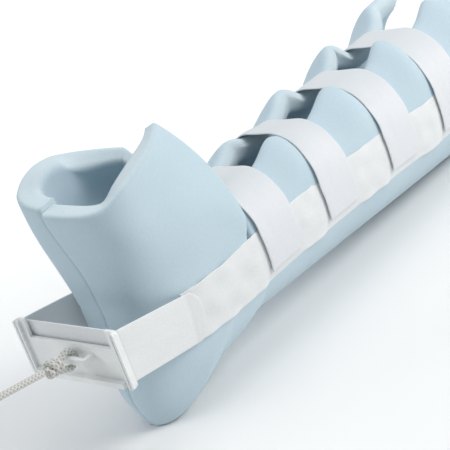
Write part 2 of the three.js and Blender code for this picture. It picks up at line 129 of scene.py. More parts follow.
def smoothstep(value: Array | float, low: Array | float, high: Array | float) -> Array | float:
    """Climb from 0 at low to 1 at high: three times the share squared, less twice its cube."""
    share = np.clip((value - low) / (high - low), 0.0, 1.0)
    return share * share * (3.0 - 2.0 * share)


def unit(vectors: Array) -> Array:
    """Each vector on the last axis, divided by its length."""
    return vectors / np.maximum(np.linalg.norm(vectors, axis=-1, keepdims=True), TINY)


def spline(table: tuple[Span, ...], at: Array) -> Array:
    """Smooth curve through a table of (place, value).

    Args:
        table: rows in rising order of place.
        at: places to read it at.

    Returns:
        Cubic Hermite values; an inner slope is the rise over both neighbours, and the curve
        has no curvature at its ends.
    """
    place, value = np.array(table, float).T
    slope = np.gradient(value, place)
    slope[1:-1] = (value[2:] - value[:-2]) / (place[2:] - place[:-2])
    chord = np.diff(value) / np.diff(place)
    slope[0] = 1.5 * chord[0] - 0.5 * slope[1]
    slope[-1] = 1.5 * chord[-1] - 0.5 * slope[-2]
    low = np.clip(np.searchsorted(place, at, side="right") - 1, 0, len(place) - 2)
    span = place[low + 1] - place[low]
    t = (at - place[low]) / span
    return (
        (2 * t**3 - 3 * t**2 + 1) * value[low]
        + (t**3 - 2 * t**2 + t) * span * slope[low]
        + (3 * t**2 - 2 * t**3) * value[low + 1]
        + (t**3 - t**2) * span * slope[low + 1]
    )


def through(points: Array, count: int) -> Array:
    """Even Catmull-Rom curve through points.

    Args:
        points: control points, one a row.
        count: how many points to return.

    Returns:
        Points at equal distances along cubics, whose direction at a control point is half
        the way from the point before it to the one after.
    """
    at = np.linspace(0, len(points) - 1, CURVE_DENSITY * len(points))
    low = np.minimum(at.astype(int), len(points) - 2)
    t = (at - low)[:, None]
    before = points[np.maximum(low - 1, 0)]
    after = points[np.minimum(low + 2, len(points) - 1)]
    start, end = points[low], points[low + 1]
    leave, arrive = (end - before) / 2, (after - start) / 2
    dense = (
        (2 * start - 2 * end + leave + arrive) * t**3
        + (3 * end - 3 * start - 2 * leave - arrive) * t**2
        + leave * t
        + start
    )
    return resample(dense[None], np.linspace(0, 1, count)[None])[0]


def distances(lines: Array) -> Array:
    """Way from each polyline's start to its points: the sum of the steps, from 0."""
    steps = np.linalg.norm(np.diff(lines, axis=1), axis=2)
    return np.concatenate([np.zeros((len(lines), 1)), np.cumsum(steps, axis=1)], axis=1)


def resample(lines: Array, shares: Array) -> Array:
    """Points at given shares of each line's length.

    Args:
        lines: polylines, shaped (line, point, 3).
        shares: wanted shares, shaped (line, place).

    Returns:
        Points shaped (line, place, 3), straight between the given ones.
    """
    run = distances(lines)
    wanted = shares * run[:, -1:]
    return np.stack(
        [
            np.stack([np.interp(w, r, line[:, k]) for k in range(line.shape[1])], axis=-1)
            for line, r, w in zip(lines, run, wanted)
        ]
    )


def lengths(lines: Array) -> Array:
    """Length of each polyline: the sum of its steps."""
    return np.linalg.norm(np.diff(lines, axis=1), axis=2).sum(axis=1)


def edged(length: Array | float, rounding: float, count: int, ends: tuple[bool, bool]) -> Array:
    """Shares of a line that crowd together inside the rounding of its free ends.

    Args:
        length: the line's length, or one for each of many lines.
        rounding: radius of the rounded edge.
        count: how many even places lie between the ends.
        ends: whether the first and the last end are free.

    Returns:
        Rising shares from 0 to 1, one row a line.
    """
    size = np.atleast_1d(np.asarray(length, float))[:, None]
    lead = EDGE_PLACES * rounding / size
    first = lead if ends[0] else np.zeros_like(size)
    last = 1.0 - lead[:, ::-1] if ends[1] else np.ones_like(size)
    inner = mix(first[:, -1:], last[:, :1], np.linspace(0, 1, count + 2)[1:-1])
    return np.concatenate([first, inner, last], axis=1)


def grid_quads(index: Array, flip: bool) -> Array:
    """Quads of a grid of vertex numbers.

    Args:
        index: vertex numbers shaped (row, column).
        flip: whether the grid is wound the other way.

    Returns:
        Quads, one a row.
    """
    a, b = index[:-1, :-1], index[:-1, 1:]
    c, d = index[1:, :-1], index[1:, 1:]
    quads = np.stack([a, b, d, c], axis=-1).reshape(-1, 4)
    return quads[:, ::-1] if flip else quads


def ripple(points: Array, waves: tuple[Wave, ...]) -> Array:
    """Slow unevenness of a soft surface.

    Args:
        points: places, in millimetres.
        waves: rows of (x, y, z turns for each metre, phase).

    Returns:
        Mean of the sines of each place along each wave, from about -1 to 1.
    """
    table = np.array(waves)
    angle = points @ table[:, :3].T * (2 * math.pi * MM) + table[:, 3]
    return np.sin(angle).mean(axis=-1)


@dataclass
class Surface:
    """Open surface of quads, with a place on the cloth for each vertex.

    Attributes:
        points: vertices, in millimetres.
        quads: vertex numbers, wound to face outwards.
        flat: cloth coordinates of each vertex, in millimetres.
    """

    points: Array
    quads: Array
    flat: Array

    @classmethod
    def from_grid(cls, rows: Array, flip: bool) -> Surface:
        """Surface of one grid of points.

        Args:
            rows: points shaped (row, column, 3); a row runs along the cloth.
            flip: whether the grid is wound the other way.

        Returns:
            The surface, with cloth coordinates measured along the middle row and column.
        """
        count, across = rows.shape[:2]
        along = distances(rows[count // 2][None])
        width = distances(rows[:, across // 2][None])
        flat = np.stack(np.broadcast_arrays(along, width.T), axis=-1)
        index = np.arange(count * across).reshape(count, across)
        return cls(rows.reshape(-1, 3), grid_quads(index, flip), flat.reshape(-1, 2))

    def normals(self) -> Array:
        """Outward direction at each vertex.

        Returns:
            Unit sums of the crossed diagonals of the quads round each vertex.
        """
        a, b, c, d = (self.points[self.quads[:, k]] for k in range(4))
        face = np.cross(c - a, d - b)
        corners = self.quads.ravel()
        sums = np.stack(
            [
                np.bincount(corners, np.repeat(face[:, k], 4), minlength=len(self.points))
                for k in range(3)
            ],
            axis=-1,
        )
        return unit(sums)

    def sides(self) -> Array:
        """Pairs of vertex numbers, one for each quad's each side in its own direction."""
        return np.stack([self.quads, np.roll(self.quads, -1, axis=1)], axis=-1).reshape(-1, 2)

    def free_sides(self) -> Array:
        """Sides that belong to one quad only.

        Returns:
            Pairs of vertex numbers, in their quad's direction.
        """
        sides = self.sides()
        key = np.sort(sides, axis=1) @ np.array([len(self.points), 1])
        _, first, uses = np.unique(key, return_index=True, return_counts=True)
        return sides[first[uses == 1]]

    def relaxed(self, values: Array, rounds: int, keep_edges: bool) -> Array:
        """Values smoothed over the surface.

        Args:
            values: one vector a vertex.
            rounds: how often each vertex moves half way to the mean of its neighbours.
            keep_edges: whether values along the free edges stay.

        Returns:
            The smoothed values.
        """
        sides = np.unique(np.sort(self.sides(), axis=1), axis=0)
        both = np.concatenate([sides, sides[:, ::-1]])
        count = np.bincount(both[:, 0], minlength=len(values))[:, None]
        fixed = np.zeros(len(values), bool)
        fixed[self.free_sides().ravel()] = keep_edges
        out = values.copy()
        for _ in range(rounds):
            mean = np.stack(
                [
                    np.bincount(both[:, 0], out[both[:, 1], k], minlength=len(values))
                    for k in range(values.shape[1])
                ],
                axis=-1,
            )
            out = np.where(fixed[:, None], out, (out + mean / count) / 2)
        return out

    def from_edge(self) -> Array:
        """Distance of each vertex from the nearest free edge.

        Returns:
            Distances, in millimetres.
        """
        edge = self.points[np.unique(self.free_sides())]
        nearest = [
            np.sqrt(((part[:, None] - edge[None]) ** 2).sum(axis=2).min(axis=1))
            for part in np.array_split(self.points, max(1, len(self.points) // CHUNK))
        ]
        return np.concatenate(nearest)


@dataclass
class Shell:
    """Closed body between an outer and an inner face, with rounded edges.

    Attributes:
        points: vertices, in millimetres.
        quads: faces.
        flat: cloth coordinates of each vertex, in millimetres.
        edge: 1 on a free edge and 0 away from it.
    """

    points: Array
    quads: Array
    flat: Array
    edge: Array

    @classmethod
    def around(
        cls,
        surface: Surface,
        outer: Array,
        inner: Array,
        outward: Array,
        rounding: Array | float,
        steps: int,
    ) -> Shell:
        """Closes two faces along the free edges.

        Args:
            surface: gives the quads, the free edges and the cloth coordinates.
            outer: outer vertices.
            inner: inner vertices.
            outward: direction out of the outer face at each vertex.
            rounding: radius of the edges' corners, or one for each vertex.
            steps: faces across the edge's flat part.

        Returns:
            The body. A face sinks by the radius less the square root of the radius squared
            less the squared share of it that is left, which is a quarter circle.
        """
        gap = surface.from_edge()
        left = np.clip(rounding - gap, 0.0, rounding)
        sink = (rounding - np.sqrt(np.maximum(rounding**2 - left**2, 0.0)))[:, None]
        top, bottom = outer - outward * sink, inner + outward * sink
        free = surface.free_sides()
        rim = np.unique(free)
        spot = np.zeros(len(outer), int)
        spot[rim] = np.arange(len(rim))
        shares = np.linspace(0, 1, steps + 1)[1:-1]
        walls = [mix(top[rim], bottom[rim], share) for share in shares]
        count = len(outer)
        rings = [free]
        rings += [2 * count + k * len(rim) + spot[free] for k in range(len(walls))]
        rings.append(free + count)
        quads = [surface.quads, surface.quads[:, ::-1] + count]
        for upper, lower in zip(rings, rings[1:]):
            quads.append(np.stack([upper[:, 1], upper[:, 0], lower[:, 0], lower[:, 1]], axis=1))
        edge = np.clip(1.0 - gap / rounding, 0.0, 1.0)
        repeats = len(walls)
        return cls(
            np.concatenate([top, bottom, *walls]),
            np.concatenate(quads),
            np.concatenate([surface.flat, surface.flat, *[surface.flat[rim]] * repeats]),
            np.concatenate([edge, edge, *[np.ones(len(rim))] * repeats]),
        )


# Shader nodes


class Wire:
    """Output socket of a shader node, with arithmetic that adds Math nodes."""

    def __init__(self, graph: Graph, socket: bpy.types.NodeSocket) -> None:
        """Keeps the socket with the tree it belongs to."""
        self.graph = graph
        self.socket = socket

    def _math(self, operation: str, *values: Wire | float) -> Wire:
        """Result of a Math node on the given values."""
        node = self.graph.node("ShaderNodeMath", {"operation": operation}, dict(enumerate(values)))
        return node["Value"]

    def __add__(self, other: Wire | float) -> Wire:
        """This value plus another."""
        return self._math("ADD", self, other)

    def __radd__(self, other: float) -> Wire:
        """A number plus this value."""
        return self._math("ADD", other, self)

    def __mul__(self, other: Wire | float) -> Wire:
        """This value times another."""
        return self._math("MULTIPLY", self, other)

    def __rmul__(self, other: float) -> Wire:
        """A number times this value."""
        return self._math("MULTIPLY", other, self)


class Parts:
    """Outputs of one shader node, by name."""

    def __init__(self, graph: Graph, node: bpy.types.Node) -> None:
        """Keeps the node with the tree it belongs to."""
        self.graph = graph
        self.node = node

    def __getitem__(self, key: str | int) -> Wire:
        """Output of a name or a number."""
        return Wire(self.graph, self.node.outputs[key])


class Graph:
    """Node tree of one new material, around a Principled shader."""

    def __init__(self, name: str) -> None:
        """Starts an empty tree in a new material.

        Args:
            name: the material's name.
        """
        self.material = bpy.data.materials.new(name)
        self.material.use_nodes = True
        self.tree = self.material.node_tree
        self.tree.nodes.clear()

    def node(
        self,
        kind: str,
        settings: dict[str, object] | None = None,
        values: dict[str | int, object] | None = None,
    ) -> Parts:
        """Adds a node.

        Args:
            kind: the node's type.
            settings: the node's own properties, set first.
            values: input sockets, by name or number, as numbers or wires.

        Returns:
            The node's outputs.
        """
        node = self.tree.nodes.new(kind)
        for key, value in (settings or {}).items():
            setattr(node, key, value)
        for key, value in (values or {}).items():
            if isinstance(value, Wire):
                self.tree.links.new(value.socket, node.inputs[key])
            else:
                node.inputs[key].default_value = value
        return Parts(self, node)

    def noise(self, vector: Wire, scale: float, detail: float = 2.0) -> Wire:
        """Noise about 0.5, with its scale in cells for each metre and its detail in octaves."""
        values = {"Vector": vector, "Scale": scale, "Detail": detail}
        return self.node("ShaderNodeTexNoise", None, values)["Fac"]

    def stretched(self, vector: Wire, scale: Triple) -> Wire:
        """Coordinates times a factor for each axis."""
        values = {"Vector": vector, "Scale": scale}
        return self.node("ShaderNodeMapping", None, values)["Vector"]

    def blend(self, factor: Wire, low: Wire | Colour, high: Colour) -> Wire:
        """Colour between two colours.

        Args:
            factor: 0 for the first and 1 for the second.
            low: first colour, also one that varies.
            high: second colour.

        Returns:
            The colour.
        """
        settings = {"data_type": "RGBA", "clamp_factor": True}
        first = low if isinstance(low, Wire) else (*low, 1.0)
        # Inputs 6 and 7 and output 2 of a Mix node are its colours.
        values = {0: factor, 6: first, 7: (*high, 1.0)}
        return self.node("ShaderNodeMix", settings, values)[2]

    def remap(self, value: Wire, span: Span, to: Span = WHOLE) -> Wire:
        """Smooth change from one span of values to another.

        Args:
            value: what to change.
            span: its low and high.
            to: what they become.

        Returns:
            The changed value, by the smooth climb between them.
        """
        # Inputs of a Map Range node: the value, its low and high, and what they become.
        values = {0: value, 1: span[0], 2: span[1], 3: to[0], 4: to[1]}
        settings = {"interpolation_type": "SMOOTHSTEP"}
        return self.node("ShaderNodeMapRange", settings, values)["Result"]

    def bump(self, height: Wire, depth: float, strength: float) -> Wire:
        """Normal bent by a height from 0 to 1, with its depth in metres."""
        values = {"Height": height, "Distance": depth, "Strength": strength}
        return self.node("ShaderNodeBump", None, values)["Normal"]

    def place(self) -> Wire:
        """Object coordinates."""
        return self.node("ShaderNodeTexCoord")["Object"]

    def cloth(self) -> Wire:
        """The piece's own flat coordinates, in metres."""
        return self.node("ShaderNodeUVMap", {"uv_map": "cloth"})["UV"]

    def edge(self) -> Wire:
        """The piece's edge attribute: 1 on a cut edge, or on top of a rope's strand."""
        return self.node("ShaderNodeAttribute", {"attribute_name": "edge"})["Fac"]

    def finish(self, values: dict[str, object]) -> bpy.types.Material:
        """Ends the tree in a Principled shader.

        Args:
            values: its input sockets.

        Returns:
            The material.
        """
        shader = self.node("ShaderNodeBsdfPrincipled", None, values)
        self.node("ShaderNodeOutputMaterial", None, {"Surface": shader["BSDF"]})
        return self.material


# Finishes


@dataclass(frozen=True)
class FoamFinish:
    """Matte fine-celled foam: open pores, slow shading and paler edges, partly wear and partly
    painted highlight.
    """

    name: str = "pale_blue_foam"
    deep: Colour = (0.50, 0.625, 0.70)
    pale: Colour = (0.545, 0.665, 0.735)
    # Edge colour: partly wear, partly painted highlight on the rounded cut edges and rims.
    worn: Colour = (0.70, 0.775, 0.805)
    roughness: Span = (0.82, 0.95)
    cloud_scale: float = 14.0
    grain_scale: float = 420.0
    grain_detail: float = 4.0
    cloud_share: float = 0.5
    wear_and_highlight_grain: float = 0.6
    wear_and_highlight_span: Span = (0.35, 1.0)
    wear_and_highlight: Span = (0.0, 0.55)
    pore_scale: float = 1300.0
    pore_share: float = 0.6
    pore_depth: float = 0.0005
    pore_strength: float = 0.35
    sheen: float = 0.12
    sheen_roughness: float = 0.6
    gloss: float = 0.25

    def material(self) -> bpy.types.Material:
        """Makes the material.

        Returns:
            The foam. Its colour is the mean of slow clouds and fine grain, paler on edges as wear
            and as painted highlight.
            Its height is pores and grain by their shares.
        """
        graph = Graph(self.name)
        place = graph.place()
        cloud = graph.noise(place, self.cloud_scale)
        grain = graph.noise(place, self.grain_scale, self.grain_detail)
        cells = {"Vector": place, "Scale": self.pore_scale}
        pores = graph.node("ShaderNodeTexVoronoi", {"feature": "SMOOTH_F1"}, cells)["Distance"]
        shading = self.cloud_share * cloud + (1 - self.cloud_share) * grain
        body = graph.blend(graph.remap(shading, NOISE_SPAN), self.deep, self.pale)
        # Paler cut edges: partly wear, partly painted highlight.
        edge_wear_and_highlight = graph.edge() * (self.wear_and_highlight_grain + self.wear_and_highlight_grain * grain)
        wear_and_highlight = graph.remap(edge_wear_and_highlight, self.wear_and_highlight_span, self.wear_and_highlight)
        height = self.pore_share * pores + (1 - self.pore_share) * grain
        return graph.finish(
            {
                "Base Color": graph.blend(wear_and_highlight, body, self.worn),
                "Roughness": graph.remap(grain, NOISE_SPAN, self.roughness),
                "Normal": graph.bump(height, self.pore_depth, self.pore_strength),
                "Sheen Weight": self.sheen,
                "Sheen Roughness": self.sheen_roughness,
                "Specular IOR Level": self.gloss,
            }
        )


@dataclass(frozen=True)
class WebbingFinish:
    """Brushed loop fabric: fine fibres along the strap, soft tufts, cut edges painted paler as a
    painted highlight, and painted shade where it bridges the open gap.

    The shares of the tone and of the height are those of fibres, tufts and creases.
    """

    name: str
    light: Colour
    shade: Colour
    edge_highlight_tint: Colour
    fibre_scale: Triple = (260.0, 1100.0, 1.0)
    tuft_scale: float = 650.0
    crease_scale: Triple = (26.0, 95.0, 1.0)
    fine_detail: float = 3.0
    tone_shares: Triple = (0.4, 0.35, 0.25)
    tone_span: Span = (0.36, 0.64)
    height_shares: Triple = (0.35, 0.4, 0.25)
    depth: float = 0.0009
    strength: float = 0.4
    # Painted highlight: the cut edges turn towards the edge tint by their share.
    edge_span: Span = (0.4, 1.0)
    edge_share: Span = (0.0, 0.7)
    # Painted shade: greyer by the height over the ground, where the strap bridges the open gap.
    painted_shade_span: Span = (0.135, 0.165)
    painted_shade_share: float = 0.0
    painted_shade_tint: Colour = (0.55, 0.60, 0.62)
    roughness: Span = (0.8, 0.97)
    sheen: float = 0.3
    sheen_roughness: float = 0.5
    gloss: float = 0.2

    def material(self) -> bpy.types.Material:
        """Makes the material.

        Returns:
            The fabric. Its tone and its height are sums of fibres, tufts and slow creases. It turns
            greyer with its height over the ground, as painted shade where it bridges the open gap
            with no foam behind it.
        """
        graph = Graph(self.name)
        cloth = graph.cloth()
        fibre = graph.noise(graph.stretched(cloth, self.fibre_scale), 1.0, self.fine_detail)
        tuft = graph.noise(cloth, self.tuft_scale, self.fine_detail)
        crease = graph.noise(graph.stretched(cloth, self.crease_scale), 1.0)
        sums = [
            of_fibre * fibre + of_tuft * tuft + of_crease * crease
            for of_fibre, of_tuft, of_crease in (self.tone_shares, self.height_shares)
        ]
        tone = graph.remap(sums[0], self.tone_span)
        rise = graph.node("ShaderNodeSeparateXYZ", None, {"Vector": graph.place()})["Z"]
        # Painted shade: greyer high up, over the open gap.
        painted_shade = graph.remap(rise, self.painted_shade_span, (0.0, self.painted_shade_share))
        body = graph.blend(painted_shade, graph.blend(tone, self.shade, self.light), self.painted_shade_tint)
        # Painted highlight: paler towards the cut edges.
        edge_highlight = graph.remap(graph.edge(), self.edge_span, self.edge_share)
        return graph.finish(
            {
                "Base Color": graph.blend(edge_highlight, body, self.edge_highlight_tint),
                "Roughness": graph.remap(tuft, NOISE_SPAN, self.roughness),
                "Normal": graph.bump(sums[1], self.depth, self.strength),
                "Sheen Weight": self.sheen,
                "Sheen Roughness": self.sheen_roughness,
                "Specular IOR Level": self.gloss,
            }
        )


STRIP_FABRIC = WebbingFinish(
    "strip_fabric",
    light=(0.80, 0.815, 0.82),
    shade=(0.75, 0.765, 0.775),
    edge_highlight_tint=(0.87, 0.88, 0.885),
)
STRAP_FABRIC = WebbingFinish(
    "strap_fabric",
    light=(0.765, 0.78, 0.805),
    shade=(0.72, 0.735, 0.765),
    edge_highlight_tint=(0.80, 0.815, 0.835),
    # Painted shade where the strap bridges the open gap.
    painted_shade_share=0.5,
)


@dataclass(frozen=True)
class PlateFinish:
    """Satin moulded plastic with a fine spark-eroded grain and faint flow clouds."""

    name: str = "moulded_plastic"
    light: Colour = (0.87, 0.88, 0.875)
    shade: Colour = (0.81, 0.825, 0.825)
    cloud_scale: float = 38.0
    cloud_detail: float = 3.0
    grain_scale: float = 2600.0
    scuff_scale: Triple = (60.0, 900.0, 420.0)
    scuff_detail: float = 4.0
    flow_span: Span = (0.35, 0.65)
    cloud_share: float = 0.7
    worn_share: float = 0.5
    grain_share: float = 0.7
    roughness: Span = (0.36, 0.52)
    depth: float = 0.00012
    strength: float = 0.3
    glow: float = 0.06
    glow_depth: float = 0.004

    def material(self) -> bpy.types.Material:
        """Makes the material.

        Returns:
            The plastic. Its colour is clouds and scuffs by their shares, its roughness rises
            with fine scuffs, and its height is grain and scuffs.
        """
        graph = Graph(self.name)
        place = graph.place()
        cloud = graph.noise(place, self.cloud_scale, self.cloud_detail)
        grain = graph.noise(place, self.grain_scale)
        scuff = graph.noise(graph.stretched(place, self.scuff_scale), 1.0, self.scuff_detail)
        flow = self.cloud_share * cloud + (1 - self.cloud_share) * scuff
        worn = self.worn_share * scuff + (1 - self.worn_share) * cloud
        height = self.grain_share * grain + (1 - self.grain_share) * scuff
        return graph.finish(
            {
                "Base Color": graph.blend(
                    graph.remap(flow, self.flow_span), self.shade, self.light
                ),
                "Roughness": graph.remap(worn, self.flow_span, self.roughness),
                "Normal": graph.bump(height, self.depth, self.strength),
                "Subsurface Weight": self.glow,
                "Subsurface Radius": (self.glow_depth,) * 3,
            }
        )


@dataclass(frozen=True)
class RopeFinish:
    """Braided cord: pale strands, with painted shade between them, and fine fibres along each."""

    name: str = "braided_cord"
    strand: Colour = (0.66, 0.655, 0.625)
    # Painted shade in the grooves between strands.
    groove_shade: Colour = (0.40, 0.39, 0.36)
    fibre_scale: Triple = (700.0, 2600.0, 1.0)
    fibre_detail: float = 3.0
    braid_share: float = 0.75
    braid_span: Span = (0.12, 0.6)
    roughness: Span = (0.7, 0.92)
    depth: float = 0.0004
    strength: float = 0.5
    sheen: float = 0.15

    def material(self) -> bpy.types.Material:
        """Makes the material.

        Returns:
            The cord. Its colour follows the braid and the fibres by their shares, from painted
            shade in the grooves to strands.
        """
        graph = Graph(self.name)
        strands = graph.stretched(graph.cloth(), self.fibre_scale)
        fibre = graph.noise(strands, 1.0, self.fibre_detail)
        braid = self.braid_share * graph.edge() + (1 - self.braid_share) * fibre
        tone = graph.remap(braid, self.braid_span)
        return graph.finish(
            {
                "Base Color": graph.blend(tone, self.groove_shade, self.strand),
                "Roughness": graph.remap(fibre, NOISE_SPAN, self.roughness),
                "Normal": graph.bump(fibre, self.depth, self.strength),
                "Sheen Weight": self.sheen,
            }
        )


@dataclass(frozen=True)
class FloorFinish:
    """Plain pale studio paper."""

    name: str = "studio_paper"
    light: Colour = (0.93, 0.93, 0.93)
    shade: Colour = (0.91, 0.91, 0.91)
    scale: float = 3.0
    roughness: float = 0.95
    gloss: float = 0.1

    def material(self) -> bpy.types.Material:
        """Makes the material.

        Returns:
            The paper, mottled by slow clouds.
        """
        graph = Graph(self.name)
        cloud = graph.noise(graph.place(), self.scale)
        return graph.finish(
            {
                "Base Color": graph.blend(cloud, self.shade, self.light),
                "Roughness": self.roughness,
                "Specular IOR Level": self.gloss,
            }
        )


# The boot's shape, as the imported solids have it


@dataclass(frozen=True)
class Half:
    """One half of the boot, in millimetres and degrees.

    Attributes:
        side: which side it is on.
        half_width: half the foot's width at the rim.
        widest_y: place along the leg where the rim is widest.
        edge_x: distance of the rim's free corner from the middle.
        edge_y: place of that corner along the leg.
        tuck: how far the sole wall lies behind the other one.
        belly: extra width half way up the foot wall.
        squareness: power of the rim's superellipse.
        pinch: share of the width lost under the straps.
        swelling: share of each bulge that this half takes.
        over: how far the edge over the shin reaches past the gap's angle.
        reach: how much further it reaches where the foam swells.
        rim: heights of the rim at shares of the way round the wall.
    """

    side: Side
    half_width: float
    widest_y: float
    edge_x: float
    edge_y: float
    tuck: float
    belly: float
    squareness: float
    pinch: float
    swelling: float
    over: float
    reach: float
    rim: tuple[Span, ...]


@dataclass(frozen=True)
class StrapPlace:
    """A leg strap and the foam next to it.

    Attributes:
        node: the strap's node.
        middle: its middle along the leg, in millimetres.
        bulge: height of the foam's bulge past it, in millimetres.
        front: share of the bulge before it that is left at its front edge.
        release: share of the pinch that ends past it.
        lift: how far its front edge stands off, in millimetres.
    """

    node: str
    middle: float
    bulge: float
    front: float
    release: float
    lift: float


@dataclass(frozen=True)
class Swell:
    """Foam's swelling at places along the leg.

    Attributes:
        share: share of the full swelling.
        release: share of the pinch that has ended.
        height: height of the swelling, in millimetres.
    """

    share: Array
    release: Array
    height: Array


NEAR = Half(
    side=Side.NEAR,
    half_width=56,
    widest_y=37.5,
    edge_x=38.5,
    edge_y=95.5,
    tuck=0,
    belly=4.3,
    squareness=2.57,
    pinch=0,
    swelling=0.8,
    over=4,
    reach=5,
    rim=((0, 222.7), (0.28, 223.4), (0.5, 234.2), (1, 255.5)),
)
FAR = Half(
    side=Side.FAR,
    half_width=60.2,
    widest_y=50.5,
    edge_x=4,
    edge_y=91.5,
    tuck=2.5,
    belly=3.3,
    squareness=4.1,
    pinch=0.5,
    swelling=1,
    over=0,
    reach=0,
    rim=((0, 227.6), (0.3, 236.7), (0.6, 245.8), (1, 234)),
)
STRAPS = (
    StrapPlace("leg_strap_1", 167, 13, 0, 0.42, 0.5),
    StrapPlace("leg_strap_2", 258, 16, 0.75, 0.55, 0.3),
    StrapPlace("leg_strap_3", 364, 18, 0.2, 0.62, 0.3),
    StrapPlace("leg_strap_4", 460, 18, 0.1, 0.8, 0.3),
)


@dataclass
class BootShape:
    """Outer face of the boot as formulas, in the splint's own millimetres and degrees.

    The leg wrap lies round an axis that falls along the leg. The heel pocket fans out from
    the notch, a place and a radius at the front of the ankle, to the back line. The foot
    walls rise from the notch to the rim. Both halves end at free edges.
    """

    axis_height: float = 96.6
    axis_fall: float = 0.0227
    ankle_y: float = 59
    ankle_radius: float = 60.4
    radius_growth: float = 0.0518
    start: float = 136.5
    end: float = 579
    shin_power: float = 2.4
    gap_angle: float = 24
    side_rise: float = 27
    lean: float = 0.2
    bulge_from: float = 15
    bulge_skew: float = 1.6
    end_rise: float = 45
    pinch_from: float = 32
    pinch_power: float = 1.5
    ankle_squareness: float = 3.4
    heel_squareness: float = 1.75
    sole_y0: float = -0.8
    sole_lean: float = 4.6
    notch: Triple = (136.5, 120.6, 3)
    wrap_power: float = 1.2
    back_line: tuple[Span, ...] = (
        (-2.7, 120.6),
        (-5, 79),
        (-8.2, 36),
        (-0.5, 8.5),
        (7.5, -3.2),
        (24, -2.6),
        (47, 10),
        (100, 19),
        (136.5, 28.5),
    )
    back_points: int = 1601
    seam_end: float = 0.62
    drift: float = 17
    drift_from: float = 150
    drift_to: float = 223
    swing: float = 9
    swing_level: float = 0.15
    sweep: float = 2.37
    widest_level: float = 0.8
    inward: float = 2.2
    strap_width: float = 47
    strip_end: float = 572
    strip_bow: float = 5.5
    bow_from: float = 90
    bow_to: float = 420
    shift: float = field(init=False)
    gap_edge: float = field(init=False)
    back: Array = field(init=False)
    turns: Array = field(init=False)
    reaches: Array = field(init=False)

    def __post_init__(self) -> None:
        """Works out the back line, its distances by angle from the notch, and the frame's shift."""
        self.back = through(np.array(self.back_line, float), self.back_points)
        along = self.notch[0] - self.back[:, 0]
        drop = self.notch[1] - self.back[:, 1]
        turn = np.arctan2(drop, along)
        order = np.argsort(turn)
        self.turns = turn[order]
        self.reaches = np.hypot(along, drop)[order]
        self.shift = self.strip_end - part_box("side_strip_near")[1].y / MM
        self.gap_edge = math.pi / 2 - math.radians(self.gap_angle)

    def to_frame(self, points: Array) -> Array:
        """Points of the splint's own millimetres in the shared frame, in metres."""
        return (points - np.array([0.0, self.shift, 0.0])) * MM

    def axis_z(self, y: Array) -> Array:
        """Height of the leg's axis, which falls evenly along the leg."""
        return self.axis_height - self.axis_fall * y

    def leg_radius(self, y: Array) -> Array:
        """Radius of the leg wrap, which grows evenly along the leg."""
        return self.ankle_radius + self.radius_growth * (y - self.ankle_y)

    def sole_y(self, z: Array) -> Array:
        """Place of the sole at a height: it leans forward by a fixed angle."""
        return self.sole_y0 - math.tan(math.radians(self.sole_lean)) * (z - self.axis_height)

    def leg_x(self, y: Array, z: Array) -> Array:
        """Half width of the leg wrap.

        Args:
            y: places along the leg.
            z: heights.

        Returns:
            The radius times the root of 1 less a power of the rise over the axis: a circle
            below the axis and a squarer curve above it.
        """
        radius = self.leg_radius(y)
        rise = np.clip((z - self.axis_z(y)) / radius, -1, 1)
        power = np.where(rise > 0, self.shin_power, 2.0)
        return radius * (1 - np.abs(rise) ** power) ** (1 / power)

    def swell(self, y: Array) -> Swell:
        """Foam's swelling between straps.

        Args:
            y: places along the leg.

        Returns:
            The swelling. It is a sine of the skewed way from one strap to the next, which
            stops at what is left at the next strap's front edge, and then falls to nothing
            under that strap. The pinch ends by the sine of the whole way. Past the last strap
            the foam rises smoothly and stays out.
        """
        half = self.strap_width / 2
        starts = [strap.middle + half for strap in STRAPS]
        stops = [strap.middle - half for strap in STRAPS[1:]]
        share = smoothstep(y, starts[-1], starts[-1] + self.end_rise)
        release, height = share * STRAPS[-1].release, share * STRAPS[-1].bulge
        for strap, following, low, high in zip(STRAPS, STRAPS[1:], starts, stops):
            along = np.clip((y - low) / (high - low), 0, 1) ** self.bulge_skew
            rise = np.sin((math.pi - math.asin(following.front)) * along)
            under = following.front * (1 - smoothstep(y, high, high + self.strap_width))
            bump = np.where(y < high, rise, under)
            share = share + bump
            release = release + np.sin(math.pi * along) * strap.release
            height = height + bump * strap.bulge
        return Swell(share, release, height)

    def shin_edge(self, half: Half, y: Array) -> Array:
        """Angle of a half's free edge over the shin, further over where the foam swells."""
        return self.gap_edge + np.radians(half.over + half.reach * self.swell(y).share)

    def strip_rise(self, y: Array) -> Array:
        """Height of the side strip's middle over the axis: half a sine wave along the calf."""
        along = np.clip((y - self.bow_from) / (self.bow_to - self.bow_from), 0, 1)
        return self.strip_bow * np.sin(math.pi * along)

    def shin_radius(self, half: Half, y: Array, angle: Array) -> Array:
        """Radius of the wrap at an angle above level.

        Args:
            half: which half.
            y: places along the leg.
            angle: angles above level, in radians.

        Returns:
            The superellipse's radius, plus the swelling by a smooth climb towards the shin.
        """
        power = np.where(angle > 0, self.shin_power, 2.0)
        total = np.abs(np.cos(angle)) ** power + np.abs(np.sin(angle)) ** power
        share = smoothstep(angle, math.radians(self.bulge_from), self.gap_edge)
        bulge = half.swelling * self.swell(y).height * share
        return self.leg_radius(y) * total ** (-1 / power) + bulge

